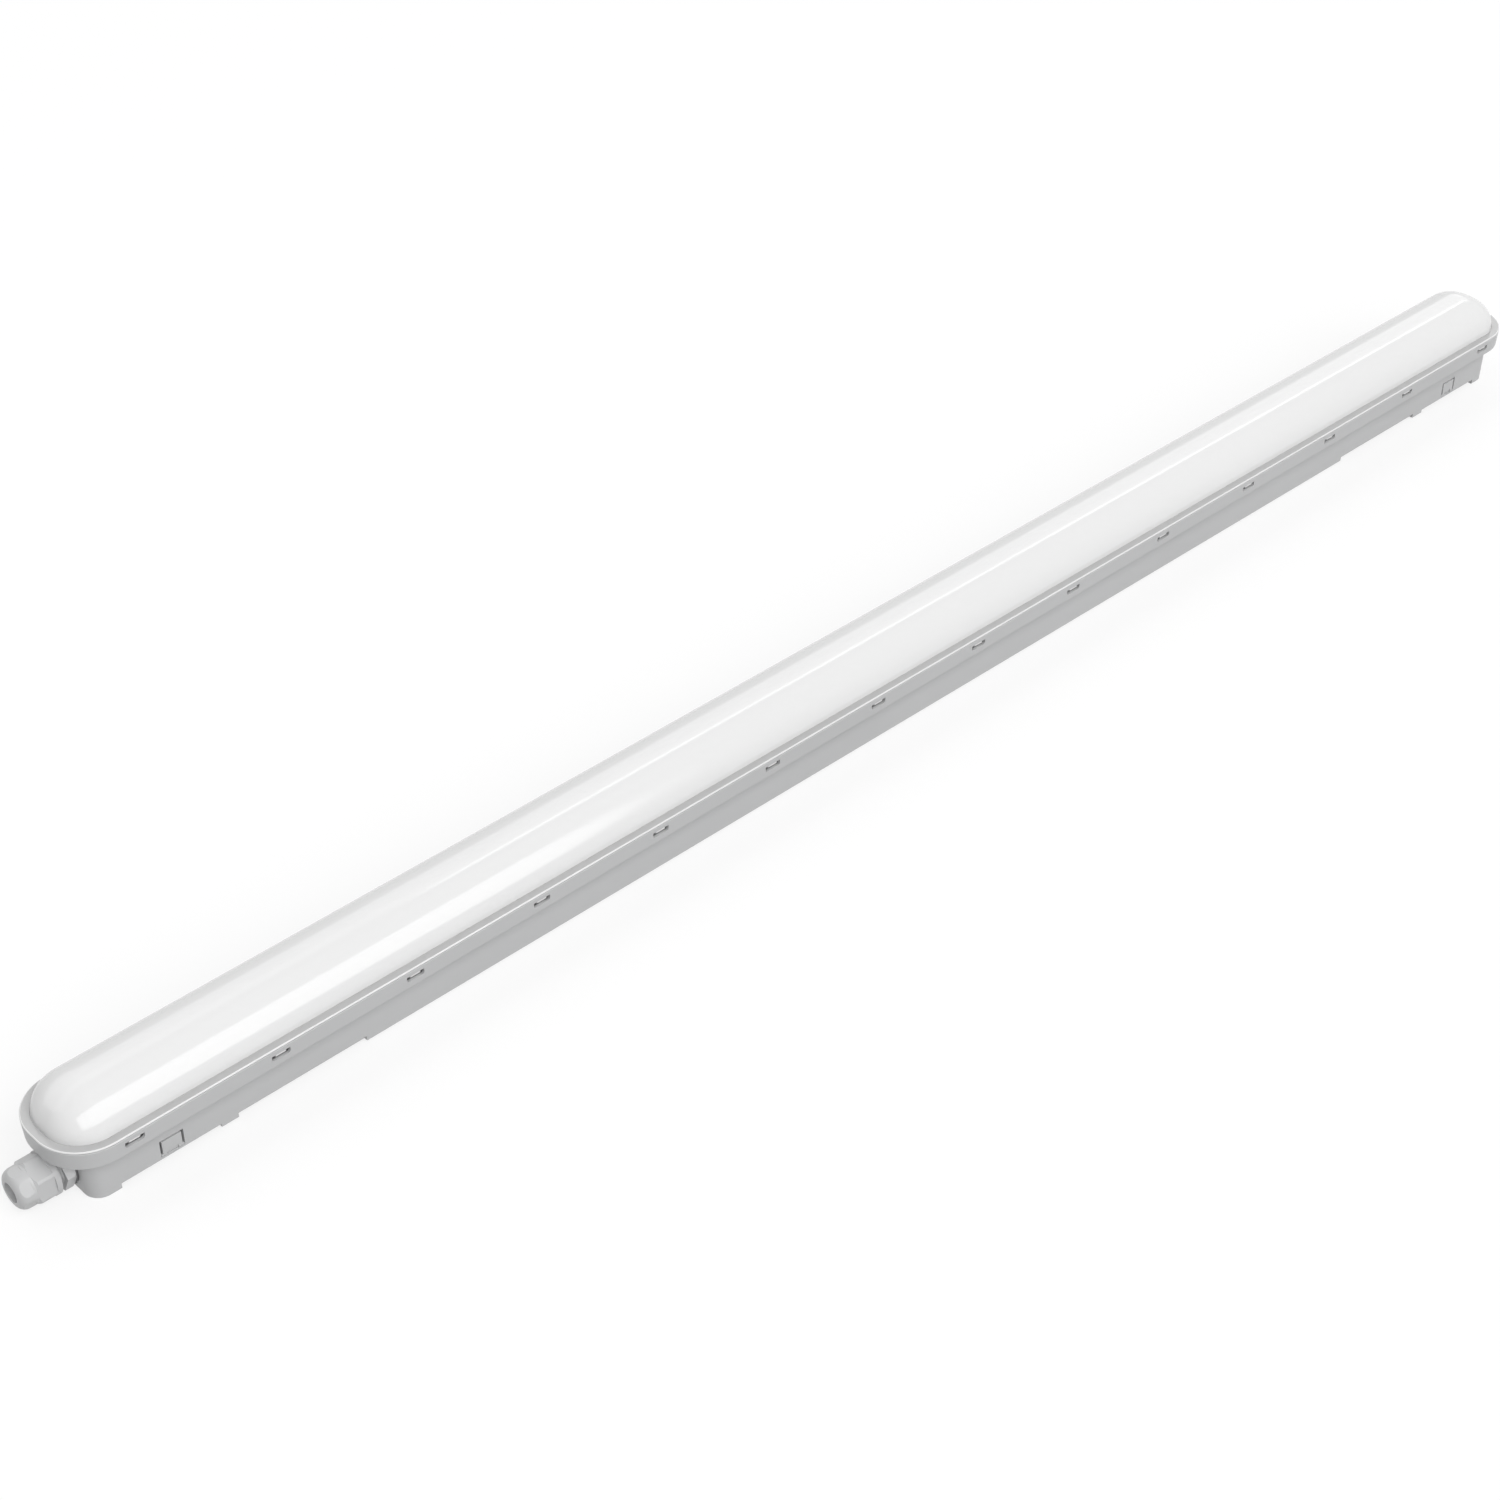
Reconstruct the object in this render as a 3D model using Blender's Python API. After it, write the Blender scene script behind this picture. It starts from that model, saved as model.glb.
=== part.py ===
"""Vapor tight light fixture, lying on its back: a long housing, an opal clip-on cover and a cable gland."""

import math

import bmesh
import bpy
from mathutils import Matrix, Vector

MM = 0.001

# Overall form. X runs along the fixture, the gland is at -X, and the back lies at Z = 0.
RIM_LENGTH = 1266.6 * MM
RIM_WIDTH = 67 * MM
RIM_END_FLAT = 8 * MM
RIM_HEIGHT = 11.3 * MM
RIM_DRAFT = 0.6 * MM
BODY_DEPTH = 29.9 * MM
END_OVERHANG = 14.8 * MM
SIDE_OVERHANG = 8.2 * MM
BODY_CORNER = 10.5 * MM
BODY_DRAFT = 0.5 * MM

# Walls, and the gap that two pieces keep where they touch.
SEAT_GAP = 0.3 * MM
BODY_WALL = 3 * MM
FLOOR_WALL = 2.2 * MM
BAND_WALL = 2 * MM
OVERRUN = 1 * MM
CORNER_STEPS = 9

# The rim's section: an outer band, a channel for the gasket, and an inner wall.
BAND_ROUND = 0.3 * MM
CHANNEL_FLOOR = 2.3 * MM
INNER_WALL_INSET = 8.4 * MM
INNER_WALL = 2 * MM
INNER_WALL_DROP = 3.2 * MM

# The back: deeper end blocks, raised and rebated stretches of the skirt, and a recess.
FOOT_LENGTH = 17.3 * MM
FOOT_DROP = 1.3 * MM
RAISED_LENGTH = 63.5 * MM
RAISED_LIFT = 2.3 * MM
STEP_LENGTH = 11 * MM
REBATE_LENGTH = 86.5 * MM
REBATE_HEIGHT = 3.3 * MM
REBATE_DEPTH = 2 * MM
REBATE_RIB = 2.4 * MM
SKIRT_HEIGHT = 3.5 * MM
SUMP_LENGTH = 16 * MM
SUMP_SIDE_ROOM = 4.3 * MM

# Snap windows in the rim, and the cover's hooks in them.
WINDOWS_PER_SIDE = 14
WINDOW_FROM_END = 40.1 * MM
WINDOW_END_EXTRA = 1.7 * MM
WINDOW_WIDTH = 12 * MM
WINDOW_HEIGHT = 3.7 * MM
WINDOW_CORNER = 0.9 * MM
WINDOW_DROP = 3 * MM
HOOK_WIDTH = 6.7 * MM
HOOK_LEG = 1.6 * MM
HOOK_REACH = 1.5 * MM
HOOK_TIP = 1.1 * MM
HOOK_RAMP = 1.7 * MM

# The cover: a dome that stands on a brim, whose edge lies flush with the rim's band.
COVER_INSET = 5.9 * MM
COVER_RISE = 2.45 * MM
BRIM_EDGE = 1.2 * MM
BRIM_ROUND = 0.7 * MM
BRIM_STEPS = 3
ARCH_HEIGHT = 21 * MM
ARCH_POWER = 1.9
ARCH_STEP_POWER = 1.6
COVER_WALL = 1.8 * MM
CREST_WIDTH = 2.4 * MM
ARCH_STEPS = 11

# The gasket under the cover's edge.
GASKET_HEIGHT = 1.9 * MM
GASKET_OVERHANG = 0.7 * MM

# Spring tabs in the lower walls.
TAB_FROM_END = 50 * MM
TAB_WIDTH = 12.3 * MM
TAB_HEIGHT = 9.9 * MM
TAB_THICKNESS = 1.8 * MM
TAB_GAP = 1.35 * MM
TAB_ROOT_HEIGHT = 5 * MM
TAB_ROOT_BAR = 1 * MM
TAB_POCKET_DEPTH = 5.4 * MM
TAB_POCKET_WALL = 2.2 * MM
TAB_NOTCH_WIDTH = 7 * MM
TAB_NOTCH_RISE = 0.7 * MM
TAB_NOTCH_HEIGHT = 3.2 * MM
TAB_NOTCH_DEPTH = 0.8 * MM

# The cable gland.
GLAND_FLATS = 24 * MM
GLAND_CORNER_RADIUS = 13.4 * MM
GLAND_CLEARANCE = 0.2 * MM
NUT_TURN_DEG = 34
BODY_HEX_TURN_DEG = 4
FLAT_TURN_DEG = 30
SPOT_DEPTH = 0.8 * MM
SPOT_MARGIN = 0.6 * MM
WASHER_RADIUS = 12.4 * MM
WASHER_THICKNESS = 1.1 * MM
HEX_THICKNESS = 5.6 * MM
HEX_CHAMFER = 0.4 * MM
HEX_BACK_CHAMFER = 1.3 * MM
NUT_GAP = 3.1 * MM
NUT_COLLAR = 2.9 * MM
NUT_HEX = 10.8 * MM
NUT_DOME = 9.6 * MM
DOME_ROUND = 5.4 * MM
DOME_STEPS = 6
MOUTH_RADIUS = 5.9 * MM
MOUTH_ROUND = 0.5 * MM
MOUTH_WALL = 5.2 * MM
FACET_LEAN_DEG = 9
FACET_DEPTH = 0.33 * MM
FACET_FROM_HEX = 1.3 * MM
SPIGOT_RADIUS = 9.6 * MM
SPIGOT_REACH = 8 * MM
BARREL_RADIUS = 9.9 * MM
THREAD_CLEARANCE = 0.4 * MM
BARREL_PAST_HEX = 3.2 * MM
GLAND_BORE = 6.6 * MM
SEAL_BORE = 4 * MM
SEAL_LENGTH = 4.6 * MM
SEAL_CLEARANCE = 0.35 * MM
ROUND_STEPS = 48

# The gear tray, and what it carries.
TRAY_THICKNESS = 0.8 * MM
TRAY_DROP = 3.2 * MM
TRAY_FLANGE = 3 * MM
TRAY_SIDE_GAP = 0.6 * MM
WIRING_BAY = 97 * MM
FAR_BAY = 32 * MM
BOARD_FROM_END = 8 * MM
BOARD_GAP = 12 * MM
BOARD_SIDE_ROOM = 11.3 * MM
BOARD_THICKNESS = 1 * MM
BOARD_COUNT = 3
LED_COUNT = 24
LED_SIZE = 3 * MM
LED_HEIGHT = 0.8 * MM
LINK_REACH = 5 * MM
LINK_WIDTH = 4 * MM
LINK_HEIGHT = 2.6 * MM
LINK_RIBBON = 0.8 * MM
PLUG_LENGTH = 6 * MM

# Screws and their bosses.
BOSS_RADIUS = 3.6 * MM
SCREW_HEAD_RADIUS = 2.9 * MM
SCREW_HEAD_HEIGHT = 1.8 * MM
SCREW_SHANK_RADIUS = 1.5 * MM
SCREW_LENGTH = 9 * MM
SCREW_DRIVE_RADIUS = 1.2 * MM
SCREW_DRIVE_DEPTH = 1 * MM
BOSS_FROM_TRAY_END = 32 * MM
SCREW_STEPS = 12

# The driver, hung under the tray.
DRIVER_FROM_BOSS = 43 * MM
DRIVER_SIDE_ROOM = 2.8 * MM
DRIVER_HEIGHT = 17 * MM
DRIVER_ROUND = 2 * MM
DRIVER_LID_HEIGHT = 3 * MM
DRIVER_EAR_LENGTH = 11 * MM
DRIVER_EAR_WIDTH = 14 * MM
DRIVER_EAR_THICKNESS = 1.6 * MM

# The terminal block on the trough's floor, and the wiring.
TERMINAL_FROM_END = 70 * MM
TERMINAL_LENGTH = 30 * MM
TERMINAL_SIDE_ROOM = 8.8 * MM
TERMINAL_HEIGHT = 14 * MM
TERMINAL_BASE = 2 * MM
TERMINAL_BASE_REACH = 9 * MM
TERMINAL_HOLE_RADIUS = 2 * MM
TERMINAL_HOLE_DEPTH = 8 * MM
TERMINAL_HOLE_STEPS = 12
TERMINAL_POLES = (-1, 0, 1)
POLE_PITCH_SHARE = 0.26
WIRE_RADIUS = 1.2 * MM
WIRE_SPACING = 4.4 * MM
WIRE_BEND = 16 * MM
LEAD_RADIUS = 0.9 * MM
LEAD_SPACING = 4 * MM
PLUG_FROM_LINK = 7.5 * MM
LEAD_BEND = 1.6 * MM
GROMMET_RADIUS = 3.6 * MM
GROMMET_WALL = 0.8 * MM
GROMMET_FLANGE = 0.9 * MM
GROMMET_STEPS = 16
CLIP_WIDTH = 6 * MM
CLIP_WALL = 1.2 * MM
CLIP_PLACE_SHARES = (0.3, 0.68)
EYELET_RADIUS = 3.4 * MM
EYELET_THICKNESS = 0.8 * MM
BEND_SHARE = 0.45
BEND_STEPS = 4

# Heights that several pieces share.
SKIRT_BOTTOM = FOOT_DROP
RECESS_TOP = SKIRT_BOTTOM + SKIRT_HEIGHT
FLOOR_TOP = RECESS_TOP + FLOOR_WALL
RIM_TOP = BODY_DEPTH + RIM_HEIGHT
CHANNEL_BOTTOM = BODY_DEPTH + CHANNEL_FLOOR
WINDOW_TOP = RIM_TOP - WINDOW_DROP
BRIM_LOW = RIM_TOP + SEAT_GAP
INNER_WALL_TOP = RIM_TOP - INNER_WALL_DROP
GASKET_TOP = CHANNEL_BOTTOM + SEAT_GAP + GASKET_HEIGHT
COVER_BOTTOM = GASKET_TOP + SEAT_GAP
COVER_BASE = RIM_TOP + COVER_RISE
TRAY_TOP = INNER_WALL_TOP - TRAY_DROP + SEAT_GAP
TRAY_BOTTOM = TRAY_TOP - TRAY_THICKNESS
BOSS_TOP = TRAY_BOTTOM - SEAT_GAP
BOARD_BOTTOM = TRAY_TOP + SEAT_GAP
BOARD_TOP = BOARD_BOTTOM + BOARD_THICKNESS

# The rim's corners, the body under it, and the windows along it.
RIM_CORNER = (RIM_WIDTH - RIM_END_FLAT) / 2
BODY_LENGTH = RIM_LENGTH - 2 * END_OVERHANG
BODY_WIDTH = RIM_WIDTH - 2 * SIDE_OVERHANG
WINDOW_REACH = RIM_LENGTH / 2 - WINDOW_FROM_END
WINDOW_PITCH = 2 * (WINDOW_REACH - WINDOW_END_EXTRA) / (WINDOWS_PER_SIDE - 1)

# Half widths and half lengths of the housing's trough.
TROUGH_HALF_WIDTH = BODY_WIDTH / 2 - BODY_WALL
TROUGH_HALF_LENGTH = BODY_LENGTH / 2 - BODY_WALL
TROUGH_CORNER = BODY_CORNER - BODY_WALL
COVER_HALF_WIDTH = RIM_WIDTH / 2 - COVER_INSET
BAND_INSIDE = RIM_WIDTH / 2 - BAND_WALL

# How wide the things in the trough are.
SUMP_WIDTH = 2 * (TROUGH_HALF_WIDTH - SUMP_SIDE_ROOM)
BOARD_WIDTH = 2 * (TROUGH_HALF_WIDTH - BOARD_SIDE_ROOM)
DRIVER_WIDTH = 2 * (TROUGH_HALF_WIDTH - DRIVER_SIDE_ROOM)
TERMINAL_WIDTH = 2 * (TROUGH_HALF_WIDTH - TERMINAL_SIDE_ROOM)
POLE_PITCH = TERMINAL_WIDTH * POLE_PITCH_SHARE

# The tray's ends, the boards along it, and the driver under its middle.
TRAY_START = -(TROUGH_HALF_LENGTH - WIRING_BAY)
TRAY_END = TROUGH_HALF_LENGTH - FAR_BAY
TRAY_MIDDLE = (TRAY_START + TRAY_END) / 2
BOARD_ROOM = TRAY_END - TRAY_START - 2 * BOARD_FROM_END
BOARD_PITCH = (BOARD_ROOM + BOARD_GAP) / BOARD_COUNT
BOARD_LENGTH = BOARD_PITCH - BOARD_GAP
DRIVER_LENGTH = BOARD_PITCH - 2 * DRIVER_FROM_BOSS

# The gland's places along X, from its spot face in the end wall outwards.
GLAND_HEIGHT = GLAND_CORNER_RADIUS + GLAND_CLEARANCE
GLAND_WALL_FACE = -(BODY_LENGTH / 2)
SPOT_FACE = GLAND_WALL_FACE + SPOT_DEPTH
WASHER_FACE = SPOT_FACE - SEAT_GAP
HEX_BACK = WASHER_FACE - WASHER_THICKNESS - SEAT_GAP
HEX_FRONT = HEX_BACK - HEX_THICKNESS
NUT_BACK = HEX_FRONT - NUT_GAP
NUT_HEX_BACK = NUT_BACK - NUT_COLLAR
NUT_HEX_FRONT = NUT_HEX_BACK - NUT_HEX
NUT_FRONT = NUT_HEX_FRONT - NUT_DOME

# The origin is under the middle of the whole part's box, gland included.
CENTRE_SHIFT = -(NUT_FRONT + RIM_LENGTH / 2) / 2

GREY = (0.52, 0.52, 0.525, 1)
GLAND_GREY = (0.54, 0.54, 0.545, 1)
OPAL = (0.86, 0.86, 0.86, 1)
WHITE_ENAMEL = (0.85, 0.85, 0.85, 1)
RUBBER_GREY = (0.18, 0.18, 0.18, 1)
STEEL = (0.62, 0.62, 0.64, 1)
BOARD_WHITE = (0.88, 0.88, 0.86, 1)
BLACK = (0.03, 0.03, 0.03, 1)
BROWN = (0.2, 0.09, 0.04, 1)
BLUE = (0.05, 0.12, 0.5, 1)
EARTH_GREEN = (0.1, 0.35, 0.08, 1)
RED = (0.5, 0.03, 0.03, 1)


def clear_scene():
    for obj in list(bpy.data.objects):
        bpy.data.objects.remove(obj, do_unlink=True)


def material(name, colour, roughness, metallic=0.0):
    found = bpy.data.materials.get(name)
    if found:
        return found
    made = bpy.data.materials.new(name)
    made.use_nodes = True
    shader = made.node_tree.nodes["Principled BSDF"]
    shader.inputs["Base Color"].default_value = colour
    shader.inputs["Roughness"].default_value = roughness
    shader.inputs["Metallic"].default_value = metallic
    return made


def solid(name, bm, origin=(0, 0, 0), look=None, smooth_deg=0):
    """Turns a bmesh into an object whose origin is at the given place, with its faces pointing out."""
    bmesh.ops.recalc_face_normals(bm, faces=bm.faces)
    bmesh.ops.translate(bm, verts=bm.verts, vec=-Vector(origin))
    mesh = bpy.data.meshes.new(name)
    bm.to_mesh(mesh)
    bm.free()
    obj = bpy.data.objects.new(name, mesh)
    obj.location = origin
    bpy.context.scene.collection.objects.link(obj)
    if smooth_deg:
        mesh.shade_smooth()
        mesh.set_sharp_from_angle(angle=math.radians(smooth_deg))
    if look:
        mesh.materials.append(look)
    return obj


def helper(name, bm):
    """A cutter or a piece to be joined on, which isn't part of the model."""
    obj = solid(name, bm)
    obj.hide_render = True
    obj.display_type = "WIRE"
    return obj


def combine(obj, other, operation):
    modifier = obj.modifiers.new(other.name, "BOOLEAN")
    modifier.operation = operation
    modifier.solver = "EXACT"
    modifier.object = other
    other.parent = obj.parent


def outline(half_length, half_width, corner, height):
    """One ring of a rounded rectangle, seen from above, starting at its +X, +Y corner."""
    points = []
    for turn, (side_x, side_y) in enumerate(((1, 1), (-1, 1), (-1, -1), (1, -1))):
        centre = Vector((side_x * (half_length - corner), side_y * (half_width - corner), height))
        for step in range(CORNER_STEPS + 1):
            angle = (turn + step / CORNER_STEPS) * math.pi / 2
            points.append(centre + corner * Vector((math.cos(angle), math.sin(angle), 0)))
    return points


def rim_ring(inset, height):
    return outline(RIM_LENGTH / 2 - inset, RIM_WIDTH / 2 - inset, RIM_CORNER - inset, height)


def skin(rings, looped=False):
    """Joins rings of equally many points. The ends are capped, or joined when the rings run in a loop."""
    bm = bmesh.new()
    rows = [[bm.verts.new(point) for point in ring] for ring in rings]
    pairs = list(zip(rows, rows[1:]))
    if looped:
        pairs.append((rows[-1], rows[0]))
    for lower, upper in pairs:
        count = len(lower)
        for i in range(count):
            bm.faces.new((lower[i], lower[(i + 1) % count], upper[(i + 1) % count], upper[i]))
    if not looped:
        bm.faces.new(rows[0])
        bm.faces.new(rows[-1])
    return bm


def add_box(bm, low, high):
    size = Vector(high) - Vector(low)
    centre = (Vector(high) + Vector(low)) / 2
    place = Matrix.Translation(centre) @ Matrix.Diagonal((*size, 1))
    bmesh.ops.create_cube(bm, size=1, matrix=place)


def box(low, high):
    bm = bmesh.new()
    add_box(bm, low, high)
    return bm


def add_prism(bm, start, end):
    """Joins two equal polygons, given as lists of points, into a closed prism."""
    first = [bm.verts.new(point) for point in start]
    second = [bm.verts.new(point) for point in end]
    count = len(first)
    for i in range(count):
        bm.faces.new((first[i], first[(i + 1) % count], second[(i + 1) % count], second[i]))
    bm.faces.new(first[::-1])
    bm.faces.new(second)


def add_post(bm, centre, radius, bottom, top, steps=SCREW_STEPS):
    """A round post along Z."""
    depth = top - bottom
    place = Matrix.Translation((centre[0], centre[1], (top + bottom) / 2))
    bmesh.ops.create_cone(
        bm, cap_ends=True, segments=steps, radius1=radius, radius2=radius, depth=depth, matrix=place
    )


def ring_on_x(centre, radius, steps, turn_deg=0.0):
    """Points round a line that runs along X through the centre."""
    x, y, z = centre
    points = []
    for step in range(steps):
        angle = math.radians(turn_deg) + 2 * math.pi * step / steps
        points.append(Vector((x, y - radius * math.cos(angle), z + radius * math.sin(angle))))
    return points


def turned(profile):
    """Turns a closed profile of (x, radius) points round the gland's axis, as a ring with a bore."""
    return skin([ring_on_x((x, 0, GLAND_HEIGHT), radius, ROUND_STEPS) for x, radius in profile], looped=True)


def ring_on_z(centre, radius, height, steps):
    """Points round a vertical line through the centre."""
    points = []
    for step in range(steps):
        angle = 2 * math.pi * step / steps
        x, y = centre[0] + radius * math.cos(angle), centre[1] + radius * math.sin(angle)
        points.append(Vector((x, y, height)))
    return points


def turned_on_z(profile, centre, steps=SCREW_STEPS, looped=False):
    """Turns a profile of (radius, z) points round a vertical line: a capped solid, or a ring when looped."""
    return skin([ring_on_z(centre, radius, height, steps) for radius, height in profile], looped)


def window_places():
    """Where the snap windows' middles lie along X: an even pitch, a little longer at each end."""
    inner = WINDOWS_PER_SIDE - 2
    places = [(i - (inner - 1) / 2) * WINDOW_PITCH for i in range(inner)]
    return [-WINDOW_REACH] + places + [WINDOW_REACH]


def end_tab_places():
    reach = BODY_LENGTH / 2 - TAB_FROM_END
    return [(end * reach, side) for end in (-1, 1) for side in (-1, 1)]


def boss_places():
    """Tray bosses: two between the boards, and one beside a board at each end of the tray."""
    between = BOARD_PITCH / 2
    side = TROUGH_HALF_WIDTH - BOSS_RADIUS - TRAY_SIDE_GAP - TRAY_THICKNESS - SEAT_GAP
    return [
        (TRAY_START + BOSS_FROM_TRAY_END, side), (TRAY_MIDDLE - between, 0),
        (TRAY_MIDDLE + between, 0), (TRAY_END - BOSS_FROM_TRAY_END, side),
    ]


def housing_shell():
    body_top = (BODY_LENGTH / 2, BODY_WIDTH / 2)
    body_low = (BODY_LENGTH / 2 - BODY_DRAFT, BODY_WIDTH / 2 - BODY_DRAFT)
    inner = INNER_WALL_INSET + INNER_WALL
    rings = [
        outline(*body_low, BODY_CORNER - BODY_DRAFT, 0),
        outline(*body_top, BODY_CORNER, BODY_DEPTH),
        rim_ring(RIM_DRAFT, BODY_DEPTH),
        rim_ring(0, RIM_TOP - BAND_ROUND),
        rim_ring(BAND_ROUND, RIM_TOP),
        rim_ring(BAND_WALL, RIM_TOP),
        rim_ring(BAND_WALL, CHANNEL_BOTTOM),
        rim_ring(INNER_WALL_INSET, CHANNEL_BOTTOM),
        rim_ring(INNER_WALL_INSET, INNER_WALL_TOP),
        rim_ring(inner, INNER_WALL_TOP),
        rim_ring(inner, CHANNEL_BOTTOM),
        outline(TROUGH_HALF_LENGTH, TROUGH_HALF_WIDTH, TROUGH_CORNER, CHANNEL_BOTTOM),
        outline(TROUGH_HALF_LENGTH, TROUGH_HALF_WIDTH, TROUGH_CORNER, FLOOR_TOP),
    ]
    return skin(rings)


def housing_bosses():
    """Screw bosses, and the blind pockets' walls behind the spring tabs, as one helper."""
    bm = bmesh.new()
    for place in boss_places():
        add_post(bm, place, BOSS_RADIUS, FLOOR_TOP - FLOOR_WALL / 2, BOSS_TOP)
    half = TAB_WIDTH / 2 + TAB_GAP + TAB_POCKET_WALL
    inside = BODY_WIDTH / 2 - TAB_POCKET_DEPTH - TAB_POCKET_WALL
    outside = TROUGH_HALF_WIDTH + BODY_WALL / 2
    top = TAB_ROOT_HEIGHT + TAB_HEIGHT + 2 * TAB_GAP + TAB_POCKET_WALL
    for x, side in end_tab_places():
        low_y, high_y = sorted((side * inside, side * outside))
        add_box(bm, (x - half, low_y, FLOOR_TOP - FLOOR_WALL / 2), (x + half, high_y, top))
    return helper("boss_helper", bm)


def window_cutter():
    bm = bmesh.new()
    bottom = WINDOW_TOP - WINDOW_HEIGHT
    half = WINDOW_WIDTH / 2
    face = RIM_WIDTH / 2 + OVERRUN
    back = BAND_INSIDE - OVERRUN
    corners = (
        (-half, WINDOW_TOP),
        (-half, bottom + WINDOW_CORNER),
        (-half + WINDOW_CORNER, bottom),
        (half - WINDOW_CORNER, bottom),
        (half, bottom + WINDOW_CORNER),
        (half, WINDOW_TOP),
    )
    for x in window_places():
        for side in (-1, 1):
            start = [Vector((x + dx, side * back, z)) for dx, z in corners]
            end = [Vector((x + dx, side * face, z)) for dx, z in corners]
            add_prism(bm, start, end)
    return helper("window_cutter", bm)


def back_cutter():
    """The main skirt's rise over the feet, its raised and rebated stretches, and the recess in the back."""
    bm = bmesh.new()
    wide = BODY_WIDTH / 2 + OVERRUN
    foot_edge = BODY_LENGTH / 2 - FOOT_LENGTH
    raised_edge = foot_edge - RAISED_LENGTH
    rebate_end = raised_edge - STEP_LENGTH
    rebate_start = rebate_end - REBATE_LENGTH
    add_box(bm, (-foot_edge, -wide, -OVERRUN), (foot_edge, wide, SKIRT_BOTTOM))
    skirt = helper("skirt_cutter", bm)
    bm = bmesh.new()
    rebate_face = BODY_WIDTH / 2 - BODY_DRAFT - REBATE_DEPTH
    for end in (-1, 1):
        low_x, high_x = sorted((end * raised_edge, end * foot_edge))
        add_box(bm, (low_x, -wide, 0), (high_x, wide, SKIRT_BOTTOM + RAISED_LIFT))
        low_x, high_x = sorted((end * rebate_start, end * rebate_end))
        for side in (-1, 1):
            low_y, high_y = sorted((side * rebate_face, side * wide))
            add_box(bm, (low_x, low_y, 0), (high_x, high_y, SKIRT_BOTTOM + REBATE_HEIGHT))
    stretches = helper("stretch_cutter", bm)
    rib_face = rebate_face - REBATE_RIB
    shoulder = rebate_start - REBATE_RIB
    bm = skin([recess_ring(shoulder, rib_face, 0), recess_ring(shoulder, rib_face, RECESS_TOP)])
    return skirt, stretches, helper("recess_cutter", bm)


def recess_ring(shoulder, rib_face, height):
    """The recess's outline: full width in the middle, and narrower beside the rebates."""
    wide = TROUGH_HALF_WIDTH
    reach = BODY_LENGTH / 2 - FOOT_LENGTH - RAISED_LENGTH - REBATE_RIB
    points = (
        (shoulder, wide), (-shoulder, wide), (-shoulder, rib_face), (-reach, rib_face),
        (-reach, -rib_face), (-shoulder, -rib_face), (-shoulder, -wide), (shoulder, -wide),
        (shoulder, -rib_face), (reach, -rib_face), (reach, rib_face), (shoulder, rib_face),
    )
    return [Vector((x, y, height)) for x, y in points]


def tab_opening_cutter():
    bm = bmesh.new()
    half = TAB_WIDTH / 2 + TAB_GAP
    top = TAB_ROOT_HEIGHT + SEAT_GAP + TAB_HEIGHT + TAB_GAP
    back = BODY_WIDTH / 2 - TAB_POCKET_DEPTH
    for x, side in end_tab_places():
        low_y, high_y = sorted((side * back, side * (BODY_WIDTH / 2 + OVERRUN)))
        add_box(bm, (x - half, low_y, TAB_ROOT_HEIGHT), (x + half, high_y, top))
    return helper("tab_opening_cutter", bm)


def tab_notch_cutter():
    bm = bmesh.new()
    half = TAB_NOTCH_WIDTH / 2
    back = tab_face() - TAB_NOTCH_DEPTH
    bottom = SKIRT_BOTTOM + RAISED_LIFT + TAB_NOTCH_RISE
    top = bottom + TAB_NOTCH_HEIGHT
    for x, side in end_tab_places():
        low_y, high_y = sorted((side * back, side * (BODY_WIDTH / 2 + OVERRUN)))
        add_box(bm, (x - half, low_y, bottom), (x + half, high_y, top))
    return helper("tab_notch_cutter", bm)


def end_cutter():
    """The sump at each end of the trough, the gland's spot face and hole, and the holes in the bosses."""
    bm = bmesh.new()
    for end in (-1, 1):
        near = end * (TROUGH_HALF_LENGTH - SUMP_LENGTH)
        low_x, high_x = sorted((near, end * (TROUGH_HALF_LENGTH - BODY_DRAFT)))
        half = SUMP_WIDTH / 2
        add_box(bm, (low_x, -half, FLOOR_WALL), (high_x, half, FLOOR_TOP + OVERRUN))
    sump = helper("sump_cutter", bm)
    hole = SPIGOT_RADIUS + SEAT_GAP
    spot = WASHER_RADIUS + SPOT_MARGIN
    outside = GLAND_WALL_FACE - OVERRUN
    stations = (
        (outside, spot), (SPOT_FACE, spot), (SPOT_FACE, hole), (-(TROUGH_HALF_LENGTH - OVERRUN), hole),
    )
    rings = [ring_on_x((x, 0, GLAND_HEIGHT), radius, ROUND_STEPS) for x, radius in stations]
    gland_hole = helper("gland_hole_cutter", skin(rings))
    bm = bmesh.new()
    bottom = BOSS_TOP - SCREW_LENGTH - SEAT_GAP
    for place in boss_places():
        add_post(bm, place, SCREW_SHANK_RADIUS + SEAT_GAP, bottom, BOSS_TOP + OVERRUN)
    return sump, gland_hole, helper("boss_hole_cutter", bm)


def make_housing(tab_notch):
    obj = solid("housing", housing_shell(), look=material("grey plastic", GREY, 0.5), smooth_deg=30)
    combine(obj, housing_bosses(), "UNION")
    combine(obj, window_cutter(), "DIFFERENCE")
    for cutter in back_cutter() + end_cutter():
        combine(obj, cutter, "DIFFERENCE")
    combine(obj, tab_opening_cutter(), "DIFFERENCE")
    combine(obj, tab_notch, "DIFFERENCE")
    return obj


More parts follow.
